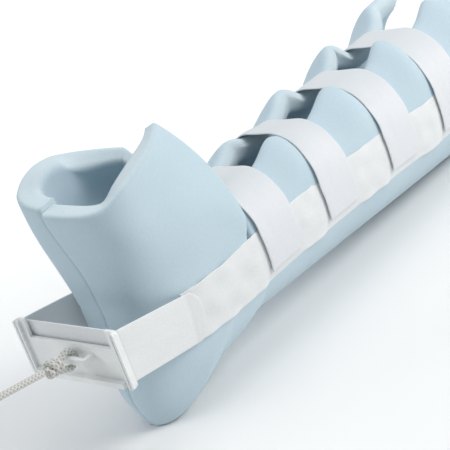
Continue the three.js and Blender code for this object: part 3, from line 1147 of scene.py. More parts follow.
    def heel_x(self, y: Array, z: Array) -> Array:
        """Half width of the heel pocket.

        Args:
            y: places along the leg.
            z: heights.

        Returns:
            Half widths of sections that fan out from the notch: a superellipse of the share of
            the way out, which changes smoothly to the leg's own section.
        """
        notch_y, notch_z, _ = self.notch
        turn = np.clip(np.arctan2(notch_z - z, notch_y - y), 0, math.pi / 2)
        reach = np.interp(turn, self.turns, self.reaches)
        share = np.clip(np.hypot(notch_z - z, notch_y - y) / reach, 0, 1)
        power = mix(self.ankle_squareness, self.heel_squareness, smoothstep(turn, 0, math.pi / 4))
        foot = self.leg_x(notch_y, notch_z) * (1 - share**power) ** (1 / power)
        below = np.interp(math.pi / 2, self.turns, self.reaches)
        leg = self.leg_x(notch_y, notch_z - share * below)
        return mix(foot, leg, smoothstep(turn, 0, math.pi / 2))

    def side_x(self, y: Array, z: Array) -> Array:
        """Half width at the side, of the heel before the leg starts and of the leg after."""
        return np.where(y < self.start, self.heel_x(y, z), self.leg_x(y, z))

    def wrap_share(self, wrap: Array) -> Array:
        """Share of the way out from the notch, 1 at the back line and 0 at the free edge."""
        return np.cos(wrap * math.pi / 2) ** self.wrap_power

    def foot(self, half: Half, level: Array, wrap: Array) -> Array:
        """Foot wall at a level, 0 at the notch and 1 at the rim.

        Args:
            half: which half.
            level: heights, shaped (row, 1).
            wrap: places round the wall, shaped (1, column).

        Returns:
            Points shaped (row, column, 3): a superellipse round the sole's corner to the
            widest place, then a power curve inwards to the free edge.
        """
        notch_y, notch_z, notch_radius = self.notch
        power = mix(self.ankle_squareness, half.squareness, level)
        narrow = self.leg_x(notch_y, notch_z)
        width = mix(narrow, half.half_width, level) + half.belly * np.sin(math.pi * level)
        edge_x = mix(width, half.edge_x, level)
        edge_start = notch_y - notch_radius + self.swing * smoothstep(level, 0, self.swing_level)
        edge_y = edge_start - (edge_start - half.edge_y) * level**self.sweep
        widest_y = mix(edge_y, half.widest_y, smoothstep(level, 0, self.widest_level))
        z = mix(notch_z, spline(half.rim, wrap), level)
        sole = self.sole_y(z) + half.tuck
        y = mix(edge_y, sole, self.wrap_share(wrap))
        back = np.clip((widest_y - y) / (widest_y - sole), 0, 1)
        front_span = np.maximum(edge_y - widest_y, TINY)
        front = np.where(level > 0, np.clip((y - widest_y) / front_span, 0, 1), 0)
        x = width * (1 - back**power) ** (1 / power) - (width - edge_x) * front**self.inward
        return np.stack(np.broadcast_arrays(half.side * x, y, z), axis=-1)

    def seam_drift(self, points: Array) -> Array:
        """How far the foot walls move to the far side with their seam.

        Args:
            points: a foot wall's points, shaped (row, column, 3).

        Returns:
            Shifts that rise smoothly towards the rim. They fall by the square from the seam to
            the wall's widest place.
        """
        reach = np.abs(points[..., 0])
        sole_side = np.arange(reach.shape[1]) <= reach.argmax(axis=1)[:, None]
        near_seam = np.where(sole_side, (1 - reach / reach.max(axis=1, keepdims=True)) ** 2, 0)
        return self.drift * smoothstep(points[..., 2], self.drift_from, self.drift_to) * near_seam

    def heel(self, half: Half, share: Array, wrap: Array) -> Array:
        """Heel pocket at a share of the back line.

        Args:
            half: which half.
            share: shares of the back line, shaped (row, 1).
            wrap: places out from the notch, shaped (1, column).

        Returns:
            Points shaped (row, column, 3), on lines from the notch's radius out to the back
            line.
        """
        notch_y, notch_z, notch_radius = self.notch
        even = np.linspace(0, 1, len(self.back))
        along = notch_y - np.interp(share, even, self.back[:, 0])
        drop = notch_z - np.interp(share, even, self.back[:, 1])
        turn, reach = np.arctan2(drop, along), np.hypot(along, drop)
        out = mix(notch_radius, reach, self.wrap_share(wrap))
        y, z = notch_y - out * np.cos(turn), notch_z - out * np.sin(turn)
        seam = smoothstep(self.seam_end - share, 0, self.seam_end)
        tuck = half.tuck * self.wrap_share(wrap) * seam
        x = np.where(wrap > 0, self.heel_x(y, z), 0)
        return np.stack(np.broadcast_arrays(half.side * x, y + tuck, z), axis=-1)

    def leg(self, half: Half, y: Array, wrap: Array) -> Array:
        """Leg wrap below the shin side.

        Args:
            half: which half.
            y: places along the leg, shaped (row, 1).
            wrap: places from underneath outwards, shaped (1, column).

        Returns:
            Points shaped (row, column, 3), on the wrap's round section.
        """
        out = mix(self.notch[2], self.side_rise + self.leg_radius(y), self.wrap_share(wrap))
        z = self.axis_z(y) + self.side_rise - out
        x = np.where(wrap > 0, self.leg_x(y, z), 0)
        return np.stack(np.broadcast_arrays(half.side * x, y, z), axis=-1)

    def shin(self, half: Half, station: Array, angle: Array, lift: Array | float) -> Array:
        """Shin side of the wrap, lifted off the foam.

        Args:
            half: which half.
            station: places along the leg.
            angle: angles above level, in radians.
            lift: height over the foam.

        Returns:
            Points on the leaning sections, with the far half pinched in under the straps.
        """
        radius = self.shin_radius(half, station, angle) + lift
        rise = radius * np.sin(angle)
        crown = np.maximum(0, rise - self.pinch_from) / (self.leg_radius(station) - self.pinch_from)
        pinch = half.pinch * (1 - self.swell(station).release)
        width = radius * np.cos(angle) * (1 - pinch * crown**self.pinch_power)
        last_edge = STRAPS[-1].middle + self.strap_width / 2
        lean = self.lean * (1 - smoothstep(station, last_edge, self.end))
        y = station + lean * np.maximum(0, rise - self.side_rise + self.notch[2])
        return np.stack(
            np.broadcast_arrays(half.side * width, y, self.axis_z(station) + rise), axis=-1
        )

    def shin_from(self, y: Array) -> Array:
        """Angle at which the shin side starts: that of the side's rise over its width."""
        rise = self.side_rise - self.notch[2]
        return np.arctan2(rise, self.leg_x(y, self.axis_z(y) + rise))


# Pieces


@dataclass(frozen=True)
class PlateSeat:
    """Where the stirrup and the rope meet the spreader plate, in millimetres.

    Attributes:
        y: place along the leg, half a wall before the back wall.
        z: height of its middle.
        wall: thickness of its walls.
        slot: space between its walls.
        channel: width of its back wall.
    """

    y: float = -38.8
    z: float = 111.7
    wall: float = 3
    slot: float = 3.6
    channel: float = 108

    def front(self) -> float:
        """Place of the front wall's face: before the slot and half a wall."""
        return self.y - self.slot - self.wall / 2


SEAT = PlateSeat()


@dataclass
class Piece:
    """A piece of the splint: its name, the nodes it stands for and its slot."""

    name: str
    nodes: tuple[str, ...]
    slot: Slot

    def add(self, shape: BootShape, shell: Shell, material: bpy.types.Material) -> bpy.types.Object:
        """Makes the piece's object.

        Args:
            shape: moves the points into the shared frame.
            shell: the piece's faces.
            material: its finish.

        Returns:
            The object, riding on the body and standing for its nodes.
        """
        points = shape.to_frame(shell.points)
        quads = shell.quads
        mesh = bpy.data.meshes.new(self.name)
        mesh.vertices.add(len(points))
        mesh.vertices.foreach_set("co", points.astype(np.float32).ravel())
        mesh.loops.add(quads.size)
        mesh.loops.foreach_set("vertex_index", quads.astype(np.int32).ravel())
        mesh.polygons.add(len(quads))
        mesh.polygons.foreach_set("loop_start", np.arange(0, quads.size, 4, dtype=np.int32))
        mesh.polygons.foreach_set("use_smooth", np.ones(len(quads), bool))
        cloth = mesh.uv_layers.new(name="cloth")
        cloth.data.foreach_set("uv", (shell.flat[quads.ravel()] * MM).astype(np.float32).ravel())
        edge = mesh.attributes.new("edge", "FLOAT", "POINT")
        edge.data.foreach_set("value", shell.edge.astype(np.float32))
        mesh.update(calc_edges=True)
        mesh.validate()
        mesh.materials.append(material)
        piece = bpy.data.objects.new(self.name, mesh)
        bpy.context.scene.collection.objects.link(piece)
        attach(piece, BODY)
        if self.nodes:
            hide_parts(*self.nodes)
        log.info("%s: %d faces", self.name, len(quads))
        return piece


@dataclass
class Patch:
    """One grid of the boot's outer face, in millimetres.

    Attributes:
        points: points shaped (row, column, 3).
        thickness: the foam's thickness at each.
        rounding: the rounding of its edges at each.
    """

    points: Array
    thickness: Array
    rounding: Array

    def numbers(self, first: int) -> Array:
        """Vertex numbers of the grid, counted row by row from the first."""
        count, across = self.points.shape[:2]
        return first + np.arange(count * across).reshape(count, across)


@dataclass
class FoamBoot(Piece):
    """The foam boot: two halves of one shell, with rounded cut edges.

    Lengths are in millimetres. The foam thins towards the foot walls' free corners, from a
    level and a place round the wall on, and the shin's edges are rolled rounder.
    """

    name: str = "foam_boot_soft"
    nodes: tuple[str, ...] = ("foam_boot",)
    slot: Slot = Slot.FOAM
    thickness: float = 22
    rounding: float = 4.2
    shin_rounding: float = 9.5
    corner_rounding: float = 2.6
    seam_gap: float = 0.5
    corner_thin: float = 0.34
    thin_level: float = 0.5
    thin_place: float = 0.72
    roll_place: float = 0.6
    unevenness: float = 0.45
    step: float = 3.8
    columns: int = 44
    shin_columns: int = 16
    dense: int = 260
    crowding: int = 3
    relax_normals: int = 12
    relax_inside: int = 40
    edge_steps: int = 4
    fill: float = 1.0
    waves: tuple[Wave, ...] = (
        (9, 4, 6, 0.3),
        (3, 11, 2, 1.9),
        (14, 7, 10, 4.1),
        (5, 17, 13, 2.6),
    )

    def rows(self, shape: BootShape) -> tuple[Array, Array, Array]:
        """Rows of the boot's grids.

        Args:
            shape: the boot's formulas.

        Returns:
            Levels of the foot walls from the rim down, shares of the back line, and places
            along the leg, each shaped (row, 1) and about a step apart.
        """
        tall = NEAR.rim[0][1] - shape.notch[1]
        levels = 1 - edged(tall, self.rounding, round(tall / self.step), (True, False))[0][:-1]
        shares = np.linspace(0, 1, round(lengths(shape.back[None])[0] / self.step))
        run = shape.end - shape.start
        along = edged(run, self.rounding, round(run / self.step), (True, True))[0]
        return levels[:, None], shares[:, None], mix(shape.start, shape.end, along)[:, None]

    def wall(
        self, shape: BootShape, half: Half, rows: tuple[Array, Array, Array], seam_rows: int
    ) -> Patch:
        """Foot wall, heel pocket and underside of one half.

        Args:
            shape: the boot's formulas.
            half: which half.
            rows: rows of the grids.
            seam_rows: how many rows have a seam at their start.

        Returns:
            The grid, even along each row. The root of x squared plus half the gap squared
            opens the seam.
        """
        levels, shares, stations = rows
        wraps = np.linspace(0, 1, self.dense)[None] ** self.crowding
        foot = shape.foot(half, levels, wraps)
        heel = shape.heel(half, shares, wraps)
        lines = np.concatenate([foot, heel, shape.leg(half, stations[1:], wraps)])
        opened = np.hypot(lines[:seam_rows, :, 0], self.seam_gap / 2)
        lines[:seam_rows, :, 0] = half.side * opened
        lines[: len(levels), :, 0] -= shape.seam_drift(foot)
        places = edged(lengths(lines), self.rounding, self.columns, (True, True))
        corner = np.zeros(places.shape)
        high = smoothstep(levels, self.thin_level, 1.0)
        corner[: len(levels)] = high * smoothstep(places[: len(levels)], self.thin_place, 1.0)
        return Patch(
            resample(lines, places),
            self.thickness * (1 - self.corner_thin * corner),
            mix(self.rounding, self.corner_rounding, corner),
        )

    def shin_side(self, shape: BootShape, half: Half, stations: Array) -> Patch:
        """Shin side of one half.

        Args:
            shape: the boot's formulas.
            half: which half.
            stations: places along the leg, shaped (row, 1).

        Returns:
            The grid, from the side up to the free edge over the shin.
        """
        start = shape.shin_from(stations)
        size = float((shape.leg_radius(shape.start) * (shape.gap_edge - start)).mean())
        places = edged(size, self.shin_rounding, self.shin_columns, (False, True))
        angle = mix(start, shape.shin_edge(half, stations), places)
        points = shape.shin(half, stations, angle, 0.0)
        grid = points.shape[:2]
        rolled = smoothstep(places, 0.0, self.roll_place)
        rounding = mix(self.rounding, self.shin_rounding, rolled)
        return Patch(points, np.full(grid, self.thickness), np.broadcast_to(rounding, grid))

    def surface(self, shape: BootShape) -> tuple[Surface, Array, Array]:
        """Outer face of both halves.

        Args:
            shape: the boot's formulas.

        Returns:
            The surface, the foam's thickness and its edges' rounding at each vertex. The
            halves share the vertices underneath, past the seam's end.
        """
        rows = self.rows(shape)
        levels, shares, stations = rows
        seam_rows = len(levels) + int((shares <= shape.seam_end).sum())
        leg_row = len(levels) + len(shares) - 1
        patches, quads, count = [], [], 0
        underneath = None
        for half in (NEAR, FAR):
            wall = self.wall(shape, half, rows, seam_rows)
            shin = self.shin_side(shape, half, stations)
            wall_numbers = wall.numbers(count)
            shin_numbers = shin.numbers(count + wall_numbers.size)
            count += wall_numbers.size + shin_numbers.size
            if underneath is None:
                underneath = wall_numbers[seam_rows:, 0].copy()
            wall_numbers[seam_rows:, 0] = underneath
            shin_numbers[:, 0] = wall_numbers[leg_row:, -1]
            flip = half.side is Side.NEAR
            quads += [grid_quads(wall_numbers, flip), grid_quads(shin_numbers, flip)]
            patches += [wall, shin]
        used, faces = np.unique(np.concatenate(quads), return_inverse=True)
        points = np.concatenate([patch.points.reshape(-1, 3) for patch in patches])
        thickness = np.concatenate([patch.thickness.ravel() for patch in patches])
        rounding = np.concatenate([patch.rounding.ravel() for patch in patches])
        surface = Surface(points[used], faces.reshape(-1, 4), np.zeros((len(used), 2)))
        return surface, thickness[used], rounding[used]

    def build(self, shape: BootShape, material: bpy.types.Material) -> bpy.types.Object:
        """Makes the boot.

        Args:
            shape: the boot's formulas.
            material: the foam's finish.

        Returns:
            The object. The inner face lies the foam's thickness inside the outer one along
            smoothed normals, and foam that meets the ground is pressed flat.
        """
        surface, thickness, rounding = self.surface(shape)
        normals = surface.normals()
        outward = unit(surface.relaxed(normals, self.relax_normals, keep_edges=False))
        inner = surface.points - outward * thickness[:, None]
        inner = surface.relaxed(inner, self.relax_inside, keep_edges=True)
        swell = ripple(surface.points, self.waves) * self.unevenness
        outer = surface.points + normals * np.minimum(swell, 0.0)[:, None]
        outer[:, 2] = np.maximum(outer[:, 2], 0.0)
        shell = Shell.around(surface, outer, inner, outward, rounding, self.edge_steps)
        shell.points[:, 2] = np.maximum(shell.points[:, 2], 0.0)
        piece = self.add(shape, shell, material)
        return piece


@dataclass
class Band(Piece):
    """A flat piece of webbing with soft rounded edges, in millimetres.

    The clearance is its gap to the foam, and the strip's gap is that to a strip below it.
    """

    slot: Slot = Slot.WEBBING
    width: float = 50
    thickness: float = 1.6
    clearance: float = 0.5
    strip_gap: float = 0.2
    rounding: float = 0.75
    columns: int = 22
    edge_steps: int = 2
    rests_on: tuple[str, ...] = ("foam_boot_soft",)
    hold: Lay = Lay.STRETCHED

    def across(self) -> Array:
        """Places across the band, from -0.5 to 0.5, close together at its edges."""
        return edged(self.width, self.rounding, self.columns, (True, True))[0] - 0.5

    def weave(
        self, shape: BootShape, rows: Array, flip: bool, material: bpy.types.Material
    ) -> bpy.types.Object:
        """Makes the band from its underside.

        Args:
            shape: moves the points into the shared frame.
            rows: underside, shaped (across, along, 3).
            flip: whether the grid is wound the other way.
            material: the fabric's finish.

        Returns:
            The object.
        """
        surface = Surface.from_grid(rows, flip)
        outward = surface.normals()
        top = surface.points + outward * self.thickness
        under = surface.points
        shell = Shell.around(surface, top, under, outward, self.rounding, self.edge_steps)
        piece = self.add(shape, shell, material)
        wide = float(lengths(rows.transpose(1, 0, 2)).mean())
        return piece


@dataclass
class SideStrip(Band):
    """The strip down one side of the boot, puckered between the straps."""

    side: Side = Side.NEAR
    start: float = 39
    step: float = 4
    pucker: float = 1.0
    pucker_from: float = 1.0
    pucker_to: float = 13.0
    flare: float = 1.3
    flare_width: float = 0.1
    waves: tuple[Wave, ...] = (
        (0, 14, 34, 0.4),
        (0, 25, -22, 2.2),
        (0, 37, 15, 1.1),
    )

    def build(self, shape: BootShape, material: bpy.types.Material) -> bpy.types.Object:
        """Makes the strip.

        Args:
            shape: the boot's formulas.
            material: the fabric's finish.

        Returns:
            The object, lying on the foam. Away from the straps a sum of slow waves puffs it
            up, and its lower edge curls out by a smooth climb.
        """
        run = shape.strip_end - self.start
        along = edged(run, self.rounding, round(run / self.step), (True, True))
        y = mix(self.start, shape.strip_end, along)
        z = shape.axis_z(y) + shape.strip_rise(y) + self.across()[:, None] * self.width
        x = shape.side_x(y, z) + self.clearance
        rows = np.stack(np.broadcast_arrays(self.side * x, y, z), axis=-1)
        open_share = np.ones_like(y)
        for strap in STRAPS:
            away = np.abs(y - strap.middle) - shape.strap_width / 2
            open_share = open_share * smoothstep(away, self.pucker_from, self.pucker_to)
        curl = self.flare * smoothstep(-self.across(), 0.5 - self.flare_width, 0.5)[:, None]
        puff = self.pucker * (1 + ripple(rows, self.waves)) * open_share
        rows[..., 0] += self.side * (puff + curl * open_share)
        return self.weave(shape, rows, self.side is Side.NEAR, material)


@dataclass
class LegStrap(Band):
    """A strap over the shin, from one side strip to the other.

    Lengths are in millimetres, and the places of its ease and lift in degrees above level.
    """

    middle: float = 0.0
    lift: float = 0.0
    width: float = 47
    low_edge: float = 15
    strip_half: float = 25
    foam_gap: float = 0.4
    ease_from: float = 2
    ease_to: float = 20
    climb_steps: int = 46
    bridge_steps: int = 14
    bend_steps: int = 9
    bend_rounds: int = 14
    bend_ease: float = 0.5
    sag: float = 1.2
    lift_from: float = 0
    lift_top: float = 24
    lift_to: float = 64

    def height(self, shape: BootShape, y: Array, angle: Array, across: Array) -> Array:
        """Height over the foam.

        Args:
            shape: the boot's formulas.
            y: places along the leg.
            angle: angles above level.
            across: places across the strap.

        Returns:
            Over the side strip first, then smoothly down on the foam. The foot-side edge
            stands off over the side of the leg, by the square of the place across.
        """
        over = self.clearance + self.thickness + self.strip_gap
        strip_edge = np.arcsin((self.strip_half + shape.strip_rise(y)) / shape.leg_radius(y))
        ease_from, ease_to = np.radians([self.ease_from, self.ease_to])
        ease = smoothstep(angle, strip_edge + ease_from, strip_edge + ease_to)
        degrees = np.degrees(angle)
        fall = 1 - smoothstep(degrees, self.lift_top, self.lift_to)
        arch = smoothstep(degrees, self.lift_from, self.lift_top) * fall
        loose = np.clip(-across * 2, 0, 1) ** 2
        return mix(over, self.foam_gap, ease) + self.lift * arch * loose

    def build(self, shape: BootShape, material: bpy.types.Material) -> bpy.types.Object:
        """Makes the strap.

        Args:
            shape: the boot's formulas.
            material: the fabric's finish.

        Returns:
            The object: up one side, straight across the open front and down the other. Its
            bends over the foam's edges are smoothed by averages of neighbours.
        """
        across = self.across()[:, None]
        y = self.middle + across * self.width
        low = np.arcsin((shape.strip_rise(y) - self.low_edge) / shape.leg_radius(y))
        size = float((shape.leg_radius(self.middle) * (shape.gap_edge - low)).mean())
        steps = edged(size, self.rounding, self.climb_steps, (True, False))
        climbs = []
        for half in (NEAR, FAR):
            angle = mix(low, shape.shin_edge(half, y), steps)
            climbs.append(shape.shin(half, y, angle, self.height(shape, y, angle, across)))
        near, far = climbs
        share = np.linspace(0, 1, self.bridge_steps + 2)[1:-1][None, :, None]
        bridge = mix(near[:, -1:], far[:, -1:], share)
        bridge[..., 2] -= self.sag * np.sin(math.pi * share[..., 0])
        rows = np.concatenate([near, bridge, far[:, ::-1]], axis=1)
        ease = np.zeros((rows.shape[1], 1))
        bends = slice(near.shape[1] - self.bend_steps, self.bend_steps - far.shape[1])
        ease[bends] = self.bend_ease
        for _ in range(self.bend_rounds):
            between = (rows[:, :-2] + rows[:, 2:]) / 2
            rows[:, 1:-1] = mix(rows[:, 1:-1], between, ease[1:-1])
        return self.weave(shape, rows, True, material)


@dataclass
class Stirrup(Band):
    """The strap that runs from one side strip through the plate to the other."""

    name: str = "stirrup_strap_soft"
    nodes: tuple[str, ...] = ("stirrup_strap",)
    tangent_y: float = 41
    end_y: float = 54
    corner_cut: float = 9
    corner_power: float = 4
    inset: float = 0.4
    tab_steps: int = 8
    arm_steps: int = 26
    arc_steps: int = 8
    slot_steps: int = 30
    bow: float = 1.0

    def on_strip(self, shape: BootShape, y: Array) -> Array:
        """Places on the near side strip.

        Args:
            shape: the boot's formulas.
            y: places along the leg, one row for each place across.

        Returns:
            Points shaped (across, along, 3), over the foam by the strip and two gaps.
        """
        lift = 2 * self.clearance + self.thickness + self.strip_gap
        z = shape.axis_z(y) + self.across()[:, None] * (self.width - 2 * self.inset)
        return np.stack(np.broadcast_arrays(shape.side_x(y, z) + lift, y, z), axis=-1)

    def build(self, shape: BootShape, material: bpy.types.Material) -> bpy.types.Object:
        """Makes the strap.

        Args:
            shape: the boot's formulas.
            material: the fabric's finish.

        Returns:
            The object: a rounded tab on each strip, a straight arm to the plate, a quarter
            circle round the end of its back wall and a run through its slot. An arm bows out
            by half a sine wave along it.
        """
        across = self.across()[:, None] * 2
        turn_x, turn_y = SEAT.channel / 2, SEAT.y + SEAT.wall
        radius = SEAT.wall / 2 + self.inset
        plate_z = SEAT.z + across * (self.width / 2 - self.inset)
        end_y = self.end_y - self.corner_cut * np.abs(across) ** self.corner_power
        tab_size = self.end_y - self.tangent_y
        tab_places = edged(tab_size, self.rounding, self.tab_steps, (True, False))
        tab = self.on_strip(shape, mix(end_y, self.tangent_y, tab_places))
        start = self.on_strip(shape, np.full_like(across, self.tangent_y))
        angle = np.linspace(0, math.pi / 2, self.arc_steps)[None]
        turn_points = (turn_x + radius * np.cos(angle), turn_y - radius * np.sin(angle), plate_z)
        turn = np.stack(np.broadcast_arrays(*turn_points), axis=-1)
        share = np.linspace(0, 1, self.arm_steps + 2)[1:-1][None, :, None]
        arm = mix(start, turn[:, :1], share)
        arm[..., 0] += self.bow * np.sin(math.pi * share[..., 0]) * (1 - across**2)
        near = np.concatenate([tab, arm, turn], axis=1)
        far = (near * np.array([-1.0, 1.0, 1.0]))[:, ::-1]
        slot_share = np.linspace(0, 1, self.slot_steps + 2)[1:-1][None, :, None]
        slot = mix(near[:, -1:], far[:, :1], slot_share)
        return self.weave(shape, np.concatenate([near, slot, far], axis=1), True, material)


@dataclass
class Cord(Piece):
    """A braided rope along a line, in millimetres.

    Where strands cross, the lower set shows by its share. A power below 1 flattens a strand.
    """

    slot: Slot = Slot.ROPE
    diameter: float = 6
    around: int = 64
    step: float = 0.45
    strands: int = 8
    pitch: float = 15
    relief: float = 0.34
    under: float = 0.6
    strand_power: float = 0.7
    least_rings: int = 8
    least_cap: float = 0.0004

    def tube(self, line: Array) -> Shell:
        """Braided tube along a line, closed by domed ends.

        Args:
            line: points of the centre line.

        Returns:
            The tube. The radius follows the higher of two sets of strands that wind opposite
            ways, each a cosine of the way round plus or minus the way along. The side of each
            ring is the last one's, less its part along the line.
        """
        count = max(self.least_rings, round(float(lengths(line[None])[0]) / self.step))
        centre = resample(line[None], np.linspace(0, 1, count)[None])[0]
        ahead = unit(np.gradient(centre, axis=0))
        frame = [np.array([1.0, 0.0, 0.0])]
        for direction in ahead:
            side = frame[-1] - direction * float(frame[-1] @ direction)
            frame.append(unit(side))
        side = np.array(frame[1:])
        up = np.cross(ahead, side)
        along = np.arange(count) * self.step
        turn = np.linspace(0, 2 * math.pi, self.around, endpoint=False)
        wind = 2 * math.pi * along[:, None] / self.pitch
        half = self.strands / 2
        left, right = np.cos(half * (turn + wind)), np.cos(half * (turn - wind))
        over = np.cos(half * turn) * np.cos(half * wind) > 0
        left_over = np.maximum(left, self.under * right)
        right_over = np.maximum(right, self.under * left)
        braid = np.clip(np.where(over, left_over, right_over), 0, 1) ** self.strand_power
        dome = np.clip(np.minimum(along, along[::-1]) / (self.diameter / 2), 0, 1)
        cap = np.sqrt(np.clip(1 - (1 - dome) ** 2, self.least_cap, 1))[:, None]
        radius = (self.diameter / 2 - self.relief * (1 - braid)) * cap
        across, rise = np.cos(turn)[None, :, None], np.sin(turn)[None, :, None]
        out = across * side[:, None] + rise * up[:, None]
        points = centre[:, None] + radius[..., None] * out
        index = np.arange(count * self.around).reshape(count, self.around)
        index = np.concatenate([index, index[:, :1]], axis=1)
        girth = turn[None] * self.diameter / 2
        flat = np.stack(np.broadcast_arrays(along[:, None], girth), axis=-1).reshape(-1, 2)
        return Shell(points.reshape(-1, 3), grid_quads(index, False), flat, braid.ravel())


@dataclass
class RopeWork:
    """The pull rope: its loop and knot on the bridge, the straight run and the end knot.

    Lengths are in millimetres and angles in radians, apart from the loop's sweep in degrees.
    """

    diameter: float = 6
    x: float = 2.5
    slope: float = 0.21
    clear: float = 7.5
    bar: float = 4
    bar_height: float = 5.5
    knot_length: float = 19
    knot_bite: float = 1.5
    end_knot_y: float = -143
    end_knot_length: float = 16
    end_gap: float = 0.4
    run_points: int = 24
    sweep: float = 125
    loop_points: int = 13
    slack: float = 0.8
    rise: float = 2.1
    core_points: int = 5
    core_past: float = 4
    core_short: float = 2
    turns: float = 2.4
    coil_points: int = 15
    coil_part: float = 0.94915
    coil_short: float = 7
    coil_radius: float = 4.9
    coil_shift: float = 1
    coil_phase: float = -1.6
    end_radius: float = 3.9
    end_phase: float = 0.4
    uneven: float = 0.07
    uneven_turns: float = 3.1
    tilt: float = 0.2
    tie_points: int = 260
    end_points: int = 200
    bar_y: float = field(init=False)
    knot_y: float = field(init=False)

    def __post_init__(self) -> None:
        """Works out the places of the bar and of the knot on it."""
        self.bar_y = SEAT.front() - self.clear - self.bar / 2
        loop_end = self.bar_y - self.bar / 2 - self.diameter
        self.knot_y = loop_end - self.knot_length / 2 + self.knot_bite

    def at(self, y: Array) -> Array:
        """Points on the rope's straight line, which rises by its slope away from the bar."""
        z = SEAT.z + self.slope * (self.bar_y - y)
        return np.stack(np.broadcast_arrays(np.full_like(y, self.x), y, z), axis=-1)

    def coil(self, middle: float, length: float, radius: float, phase: float) -> Array:
        """Helix round the rope's line.

        Args:
            middle: y of its middle.
            length: its length along y, from +Y to -Y.
            radius: its radius.
            phase: angle at its start.

        Returns:
            Points of the helix. Its radius changes by a sine, as in a pulled knot, and its
            turns are tilted along the rope.
        """
        share = np.linspace(0, self.coil_part, self.coil_points)
        angle = phase + 2 * math.pi * self.turns * share
        size = radius * (1 + self.uneven * np.sin(self.uneven_turns * angle))
        side, up = size * np.cos(angle), size * np.sin(angle)
        offset = np.stack([side, self.tilt * up, up], axis=-1)
        return self.at(middle + length * (0.5 - share)) + offset

    def run(self) -> Array:
        """Centre line of the straight run between the knots.

        Returns:
            Points from the tie's knot to the end knot.
        """
        start = self.knot_y - self.knot_length / 2 - self.end_gap
        stop = self.end_knot_y + self.end_knot_length / 2 + self.end_gap
        return self.at(np.linspace(start, stop, self.run_points))

    def tie(self) -> Array:
        """Centre line of the tie: through the knot, round the bar, and round itself.

        Returns:
            Points of the line. The loop round the bar is part of an ellipse.
        """
        reach = (self.bar + self.diameter) / 2 + self.slack
        rise = (self.bar_height + self.diameter) / 2 + self.rise
        sweep = np.radians(np.linspace(self.sweep, -self.sweep, self.loop_points))
        y, z = self.bar_y + reach * np.cos(sweep), SEAT.z + rise * np.sin(sweep)
        loop = np.stack([np.full_like(sweep, self.x), y, z], axis=-1)
        low, high = self.knot_y - self.knot_length / 2, self.knot_y + self.core_past
        core = self.at(np.linspace(low, high, self.core_points))
        length = self.knot_length - self.coil_short
        knot = self.coil(self.knot_y - self.coil_shift, length, self.coil_radius, self.coil_phase)
        return through(np.concatenate([core, loop, knot]), self.tie_points)

    def end_knot(self) -> Array:
        """Centre line of the stopper knot: through it, back and round itself.

        Returns:
            Points of the line.
        """
        half = self.end_knot_length / 2
        low, high = self.end_knot_y - half + self.core_short, self.end_knot_y + half
        core = self.at(np.linspace(high, low, self.core_points))
        length = self.coil_short - self.end_knot_length
        knot = self.coil(self.end_knot_y, length, self.end_radius, self.end_phase)
        return through(np.concatenate([core, knot]), self.end_points)

    def build(self, shape: BootShape, material: bpy.types.Material) -> None:
        """Args:
            shape: moves the points into the shared frame.
            material: the rope's finish.
        """
        run = self.run()
        rope = Cord("traction_rope_braid", ("traction_rope",), diameter=self.diameter)
        end = Cord("rope_end_knot_braid", ("rope_end_knot",), diameter=self.diameter)
        tie = Cord("rope_tie_braid", ("rope_tie",), diameter=self.diameter)
        free = rope.add(shape, rope.tube(run), material)
        stopper = end.add(shape, end.tube(self.end_knot()), material)
        knot = tie.add(shape, tie.tube(self.tie()), material)
        line = shape.to_frame(run)
        self.diameter * MM


@dataclass
class SpreaderPlate:
    """The moulded plate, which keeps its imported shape."""

    node: str = "spreader_plate"

    def build(self, frame: dict, material: bpy.types.Material) -> None:
        """Dresses the plate.

        Args:
            frame: the loaded frame.
            material: the plastic's finish.
        """
        plate = frame["nodes"][self.node]
        plate.data.materials.clear()
        plate.data.materials.append(material)
        log.info("%s: %d faces, as packed", self.node, len(plate.data.polygons))


# Stage


@dataclass
class Camera:
    """The photograph's view, fitted to the splint's known sizes."""

    place: Triple = (0.79658, -0.87091, 0.60173)
    right: Triple = (0.75523, 0.58193, -0.30163)
    up: Triple = (-0.04217, 0.50237, 0.86362)
    back: Triple = (0.6541, -0.63952, 0.40395)
    lens: float = 104.259
    sensor: float = 36.0
    near: float = 0.05
    far: float = 30.0

    def build(self) -> None:
        """Makes the camera, whose columns are its right, up and back directions."""
        data = bpy.data.cameras.new("camera")
        data.lens = self.lens
        data.sensor_width = self.sensor
        data.clip_start, data.clip_end = self.near, self.far
        camera = bpy.data.objects.new("camera", data)
        turn = Matrix((self.right, self.up, self.back)).transposed().to_4x4()
        camera.matrix_world = Matrix.Translation(self.place) @ turn
        bpy.context.scene.collection.objects.link(camera)
        bpy.context.scene.camera = camera


@dataclass(frozen=True)
class Panel:
    """A soft area light: its place, the point it faces, its size, power and spread in degrees."""

    name: str
    place: Triple
    aim: Triple
    size: float
    power: float
    colour: Colour = (1.0, 1.0, 1.0)
    spread: float = 180.0


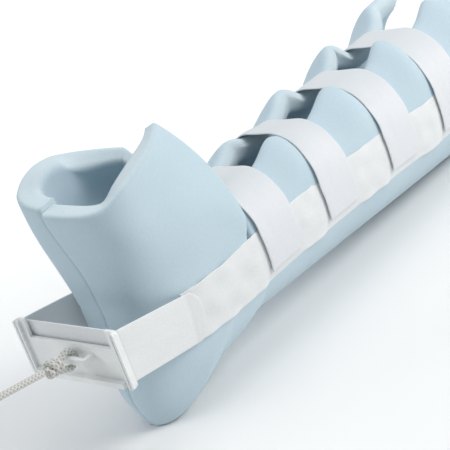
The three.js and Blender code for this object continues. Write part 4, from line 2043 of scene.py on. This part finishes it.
@dataclass
class Studio:
    """Pale floor, soft panels and an even sky."""

    floor: float = 6.0
    sky: Colour = (0.86, 0.945, 1.0)
    sky_strength: float = 0.33
    panels: tuple[Panel, ...] = (
        Panel("right", (1.8, 0.9, 1.6), (0.0, 0.0, 0.1), 1.4, 39.0, (1.0, 0.975, 0.945)),
        Panel("top", (0.1, 0.2, 2.4), (0.0, 0.0, 0.1), 2.0, 16.5),
        Panel("front", (-1.5, -1.65, 1.1), (0.0, -0.2, 0.15), 1.3, 15.0),
        Panel("paper", (-1.7, 1.1, 2.2), (-1.55, 0.9, 0.0), 1.8, 13.0, spread=70.0),
    )

    def add_floor(self) -> None:
        """Makes the floor, a square round the origin."""
        mesh = bpy.data.meshes.new("floor")
        half = self.floor / 2
        corners = [(-half, -half, 0), (half, -half, 0), (half, half, 0), (-half, half, 0)]
        mesh.from_pydata(corners, [], [(0, 1, 2, 3)])
        mesh.materials.append(FloorFinish().material())
        floor = bpy.data.objects.new("floor", mesh)
        bpy.context.scene.collection.objects.link(floor)

    def add_panel(self, panel: Panel) -> None:
        """Makes one light.

        Args:
            panel: its place, aim, size and power.
        """
        light = bpy.data.lights.new(panel.name, "AREA")
        light.shape = "DISK"
        light.size = panel.size
        light.energy = panel.power
        light.color = panel.colour
        light.spread = math.radians(panel.spread)
        lamp = bpy.data.objects.new(panel.name, light)
        bpy.context.scene.collection.objects.link(lamp)
        lamp.location = panel.place
        aim = np.array(panel.aim) - np.array(panel.place)
        flat = math.hypot(aim[0], aim[1])
        lamp.rotation_euler = (math.atan2(flat, -aim[2]), 0.0, math.atan2(-aim[0], aim[1]))

    def build(self) -> None:
        """Makes the floor, the lights and the sky."""
        self.add_floor()
        for panel in self.panels:
            self.add_panel(panel)
        world = bpy.data.worlds.new("studio")
        world.use_nodes = True
        sky = world.node_tree.nodes["Background"]
        sky.inputs["Color"].default_value = (*self.sky, 1.0)
        sky.inputs["Strength"].default_value = self.sky_strength
        bpy.context.scene.world = world
        bpy.context.scene.view_settings.view_transform = "Standard"


def main() -> None:
    """Builds the scene."""
    logging.basicConfig(level=logging.INFO, format="%(name)s: %(message)s")
    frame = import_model()
    Camera().build()
    shape = BootShape()
    RopeWork().build(shape, RopeFinish().material())
    FoamBoot().build(shape, FoamFinish().material())
    strip_fabric, strap_fabric = STRIP_FABRIC.material(), STRAP_FABRIC.material()
    for side in Side:
        node = f"side_strip_{side.name.lower()}"
        SideStrip(f"{node}_soft", (node,), side=side).build(shape, strip_fabric)
    for place in STRAPS:
        strap = LegStrap(f"{place.node}_soft", (place.node,), middle=place.middle, lift=place.lift)
        strap.build(shape, strap_fabric)
    Stirrup().build(shape, strip_fabric)
    SpreaderPlate().build(frame, PlateFinish().material())
    Studio().build()


if __name__ == "__main__":
    main()
